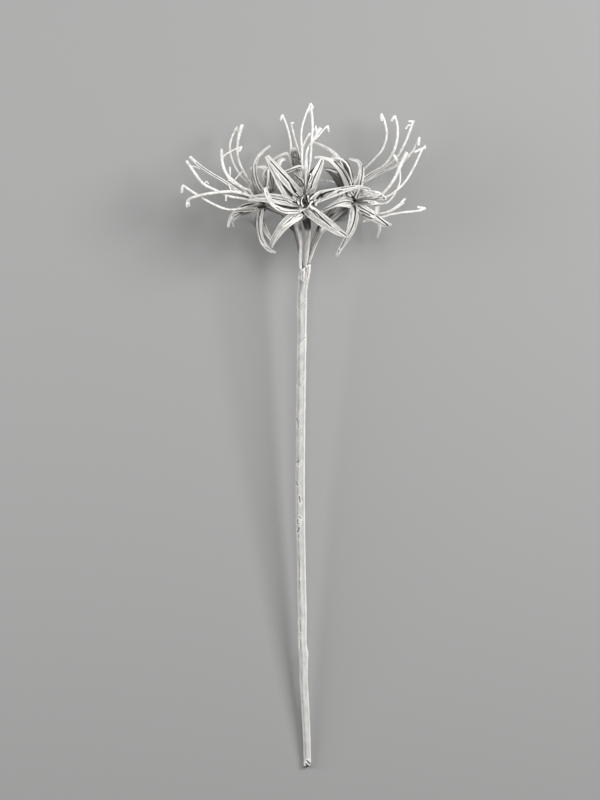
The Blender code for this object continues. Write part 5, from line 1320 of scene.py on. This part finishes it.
def makePedicel(name, bloom):
    points = [place(point) for point in bloom["pedicel"]]
    knots = [0.0]
    for start, end in zip(points, points[1:]):
        knots.append(knots[-1] + (end - start).length)
    table = [(knot / knots[-1], point[3]) for knot, point in zip(knots, bloom["pedicel"])]
    count = stalk["rows"]
    radii = [blend(table, index / (count - 1)) * mm for index in range(count)]
    ovaryStart = table[-3][0]
    around, along = stalk["grain"]
    edgeRow, edgeColumn, slope = stalk["tapeEdge"]
    # tracing steps above the slanted upper edge of the neck's tape
    aboveTape = [(share, edgeRow - row - slope * (column - edgeColumn)) for (share, _), (column, row, _, _)
                 in zip(table, bloom["pedicel"])]
    shape, tone, ink = newShape()

    def surface(share, outward, length):
        turn = math.atan2(outward.z, outward.x)
        ridge = math.cos(stalk["ribs"] * turn + share * stalk["ribTwist"])
        swollen = fade(share, ovaryStart - stalk["ovaryFrom"], ovaryStart)
        depth, blotch, grooved = [
            plain + added * swollen for plain, added in
            (stalk["ribDepth"], stalk["blotches"], stalk["ribShade"])]
        crumple = noise.noise(Vector((turn * around, share * along, len(name))))
        # painted light and shade: the stalk is lighter towards its right side
        low, high = bloom["stalkTones"]
        body = low + (high - low) * fade(outward.x, *stalk["litSide"])
        bright = body + (bloom["ovaryTone"] - body) * swollen + blotch * crumple
        middle, wide, strength = stalk["tapeShadow"]
        shadow = strength * bell(blend(aboveTape, share), middle, wide)
        dark = max(shadow, grooved * max(0.0, -ridge - stalk["ribShadeFrom"]))
        return depth * ridge + stalk["crumple"] * crumple, min(1.0, max(stalk["darkest"], bright)), dark

    addTube(shape, tone, ink, smoothRoute(points, count), radii, stalk["sides"], surface)
    finishPiece(name + "Stalk", shape, stalkPaint, bloom["node"] + "_pedicel")


def taped(dark, clear=wireTape["clear"]):  # surface of a taped wire: painted shade from the root up to clear, and a painted shadow along the tape's edge
    def surface(share, outward, length):
        turn = math.atan2(outward.z, outward.x + outward.y * wireTape["skew"]) / (2 * math.pi)
        phase = (length / wireTape["turn"] + turn) % 1.0
        wide, strength = wireTape["seam"]
        along, around, shift = wireTape["grain"]
        patch = noise.noise(Vector((length * along, turn * around, dark * shift)))
        plain, added = wireTape["tone"]
        root = dark * (1 - fade(share, clear - wireTape["clearSoft"], clear))
        seam = strength * bell(phase, 1, wide)
        return wireTape["step"] * (phase - 0.5), plain + added * patch, max(root, seam)
    return surface


def addStrand(shape, tone, ink, points, widths, surface, twin=False, count=flowerParts["bitRows"]):
    # a wire whose width, in tracing steps, follows a table; a double one is two thin wires side by side
    route = smoothRoute(points, count)
    scale = tracing["step"] / 2 * flowerParts["wireShare"]
    radii = [blend(widths, index / (count - 1)) * scale for index in range(count)]
    sides = flowerParts["filamentSides"]
    if not twin:
        addTube(shape, tone, ink, route, radii, sides, surface)
        return
    ahead = [route[min(index + 1, count - 1)] - route[max(index - 1, 0)] for index in range(count)]
    sideways = [Vector((along.y, -along.x, 0)).normalized() for along in ahead]
    parting = [fade(index / count, *flowerParts["twinPart"]) for index in range(count)]
    for way in (-1, 1):
        shifted = [point + side * way * 2 * radius * flowerParts["twinGap"] * part
                   for point, side, radius, part in zip(route, sideways, radii, parting)]

        def parted(share, outward, length):  # the side towards the other wire is painted black, as the shade between the two
            lift, bright, dark = surface(share, outward, length)
            inward = fade(-way * outward.dot(sideways[round(share * (count - 1))]),
                          *flowerParts["twinShadeSide"])
            black = flowerParts["twinShade"] * inward * fade(share, *flowerParts["twinShadeFrom"])
            return lift, bright, max(dark, black)

        addTube(shape, tone, ink, shifted, [radius * flowerParts["twinWidth"] for radius in radii],
                sides, parted)


def makeFilaments(name, bloom):
    throat = place(bloom["throat"])
    axis = Vector(bloom["axis"]).normalized()
    shape, tone, ink = newShape()

    # the plug is painted black as the shade deep in the throat
    def plain(*_):
        return flowerParts["plugShadeLook"]

    count = flowerParts["plugRows"]
    plug = smoothRoute([throat + axis * height * mm for height in flowerParts["plug"]], count)
    thickest, taper = flowerParts["plugRadius"] * mm, flowerParts["plugTaper"] * mm
    radii = [thickest - taper * index for index in range(count)]
    addTube(shape, tone, ink, plug, radii, flowerParts["plugSides"], plain)
    root, reach, away = flowerParts["leave"]
    thick = flowerParts["antherWidth"]
    hook = [(index / 2, thick * width) for index, width in enumerate(flowerParts["hookWidths"])]
    for wire, anther, widths, twin, *clear in bloom["filaments"]:
        outer = [place(point) for point in wire]
        radial = radialFrom(throat, axis, outer[0])
        points = [throat + radial * root * mm, throat + axis * reach * mm + radial * away * mm, *outer]
        addStrand(shape, tone, ink, points, widths, taped(flowerParts["wireRootShade"], *clear), twin,
                  flowerParts["filamentRows"])
        bend, tip = [place(point) for point in anther]
        addStrand(shape, tone, ink, [bend, (bend + tip) / 2, tip], hook, taped(0.0), False,
                  flowerParts["hookRows"])
    for wire, widths in bloom["bits"]:
        narrower = [(share, width * flowerParts["bitShare"]) for share, width in widths]
        addStrand(shape, tone, ink, [place(point) for point in wire], narrower, taped(0.0))
    finishPiece(name + "Filaments", shape, wirePaint, bloom["node"] + "_stamens")


for node, bloom in blooms.items():
    bloom["node"] = node
    words = node.split("_")
    name = words[0] + "".join(word.capitalize() for word in words[1:])
    makePedicel(name, bloom)
    makeTube(name, bloom)
    makeTepals(name, bloom)
    makeFilaments(name, bloom)
print("blooms made")

# floor, light and camera
studio = {
    "floorHalf": 3.0,  # metres
    "floorTone": (0.34, 0.34, 0.337, 1),
    "floorRoughness": 0.9,
    "skyTone": (1.0, 1.0, 1.0, 1),
    "skyStrength": 0.14,
    # place, size in metres, power in watts
    "lamps": [
        ((0.95, 0.5, 1.15), (0.4, 0.7), 18.3),
        ((-1.1, 0.2, 0.7), (0.5, 0.9), 8.3),
        ((0.1, 0.7, 1.8), (0.6, 0.6), 11.0),
    ],
    "target": Vector((0.0, 0.05, 0.04)),
    "cameraDistance": 16.0,
    "sensor": 36,
    "farthest": 200,
    "pictureHeight": 0.6,  # metres that the frame is tall
    "pictureCentre": (300, 400),  # column and row of the tracing at the middle of the frame
    "middleHeight": 52,  # mm above the floor at which the tracing's scale holds
}


def makeStudio():
    shape = bmesh.new()
    bmesh.ops.create_grid(shape, x_segments=4, y_segments=4, size=studio["floorHalf"])
    mesh = bpy.data.meshes.new("studioFloor")
    shape.to_mesh(mesh)
    shape.free()
    floor = bpy.data.objects.new("studioFloor", mesh)
    bpy.context.scene.collection.objects.link(floor)
    floorPaint = Paint("paleFloor")
    floorPaint.shader.inputs["Base Color"].default_value = studio["floorTone"]
    floorPaint.shader.inputs["Roughness"].default_value = studio["floorRoughness"]
    mesh.materials.append(floorPaint.material)
    for index, (where, size, power) in enumerate(studio["lamps"]):
        light = bpy.data.lights.new(f"softLight{index}", "AREA")
        light.shape = "RECTANGLE"
        light.size, light.size_y = size
        light.energy = power
        lamp = bpy.data.objects.new(f"softLight{index}", light)
        bpy.context.scene.collection.objects.link(lamp)
        lamp.location = where
        lamp.rotation_euler = (studio["target"] - Vector(where)).to_track_quat("-Z", "Y").to_euler()
    world = bpy.data.worlds.new("studioSky")
    world.use_nodes = True
    sky = world.node_tree.nodes["Background"]
    sky.inputs["Color"].default_value = studio["skyTone"]
    sky.inputs["Strength"].default_value = studio["skyStrength"]
    bpy.context.scene.world = world
    lens = bpy.data.cameras.new("camera")
    lens.sensor_width = studio["sensor"]
    lens.lens = studio["sensor"] * studio["cameraDistance"] / studio["pictureHeight"]
    lens.clip_end = studio["farthest"]
    camera = bpy.data.objects.new("camera", lens)
    bpy.context.scene.collection.objects.link(camera)
    column, row = studio["pictureCentre"]
    camera.location = place((column, row, studio["middleHeight"]))
    camera.location.z += studio["cameraDistance"]
    bpy.context.scene.camera = camera
    bpy.context.scene.view_settings.view_transform = "Standard"


makeStudio()
print("studio made")
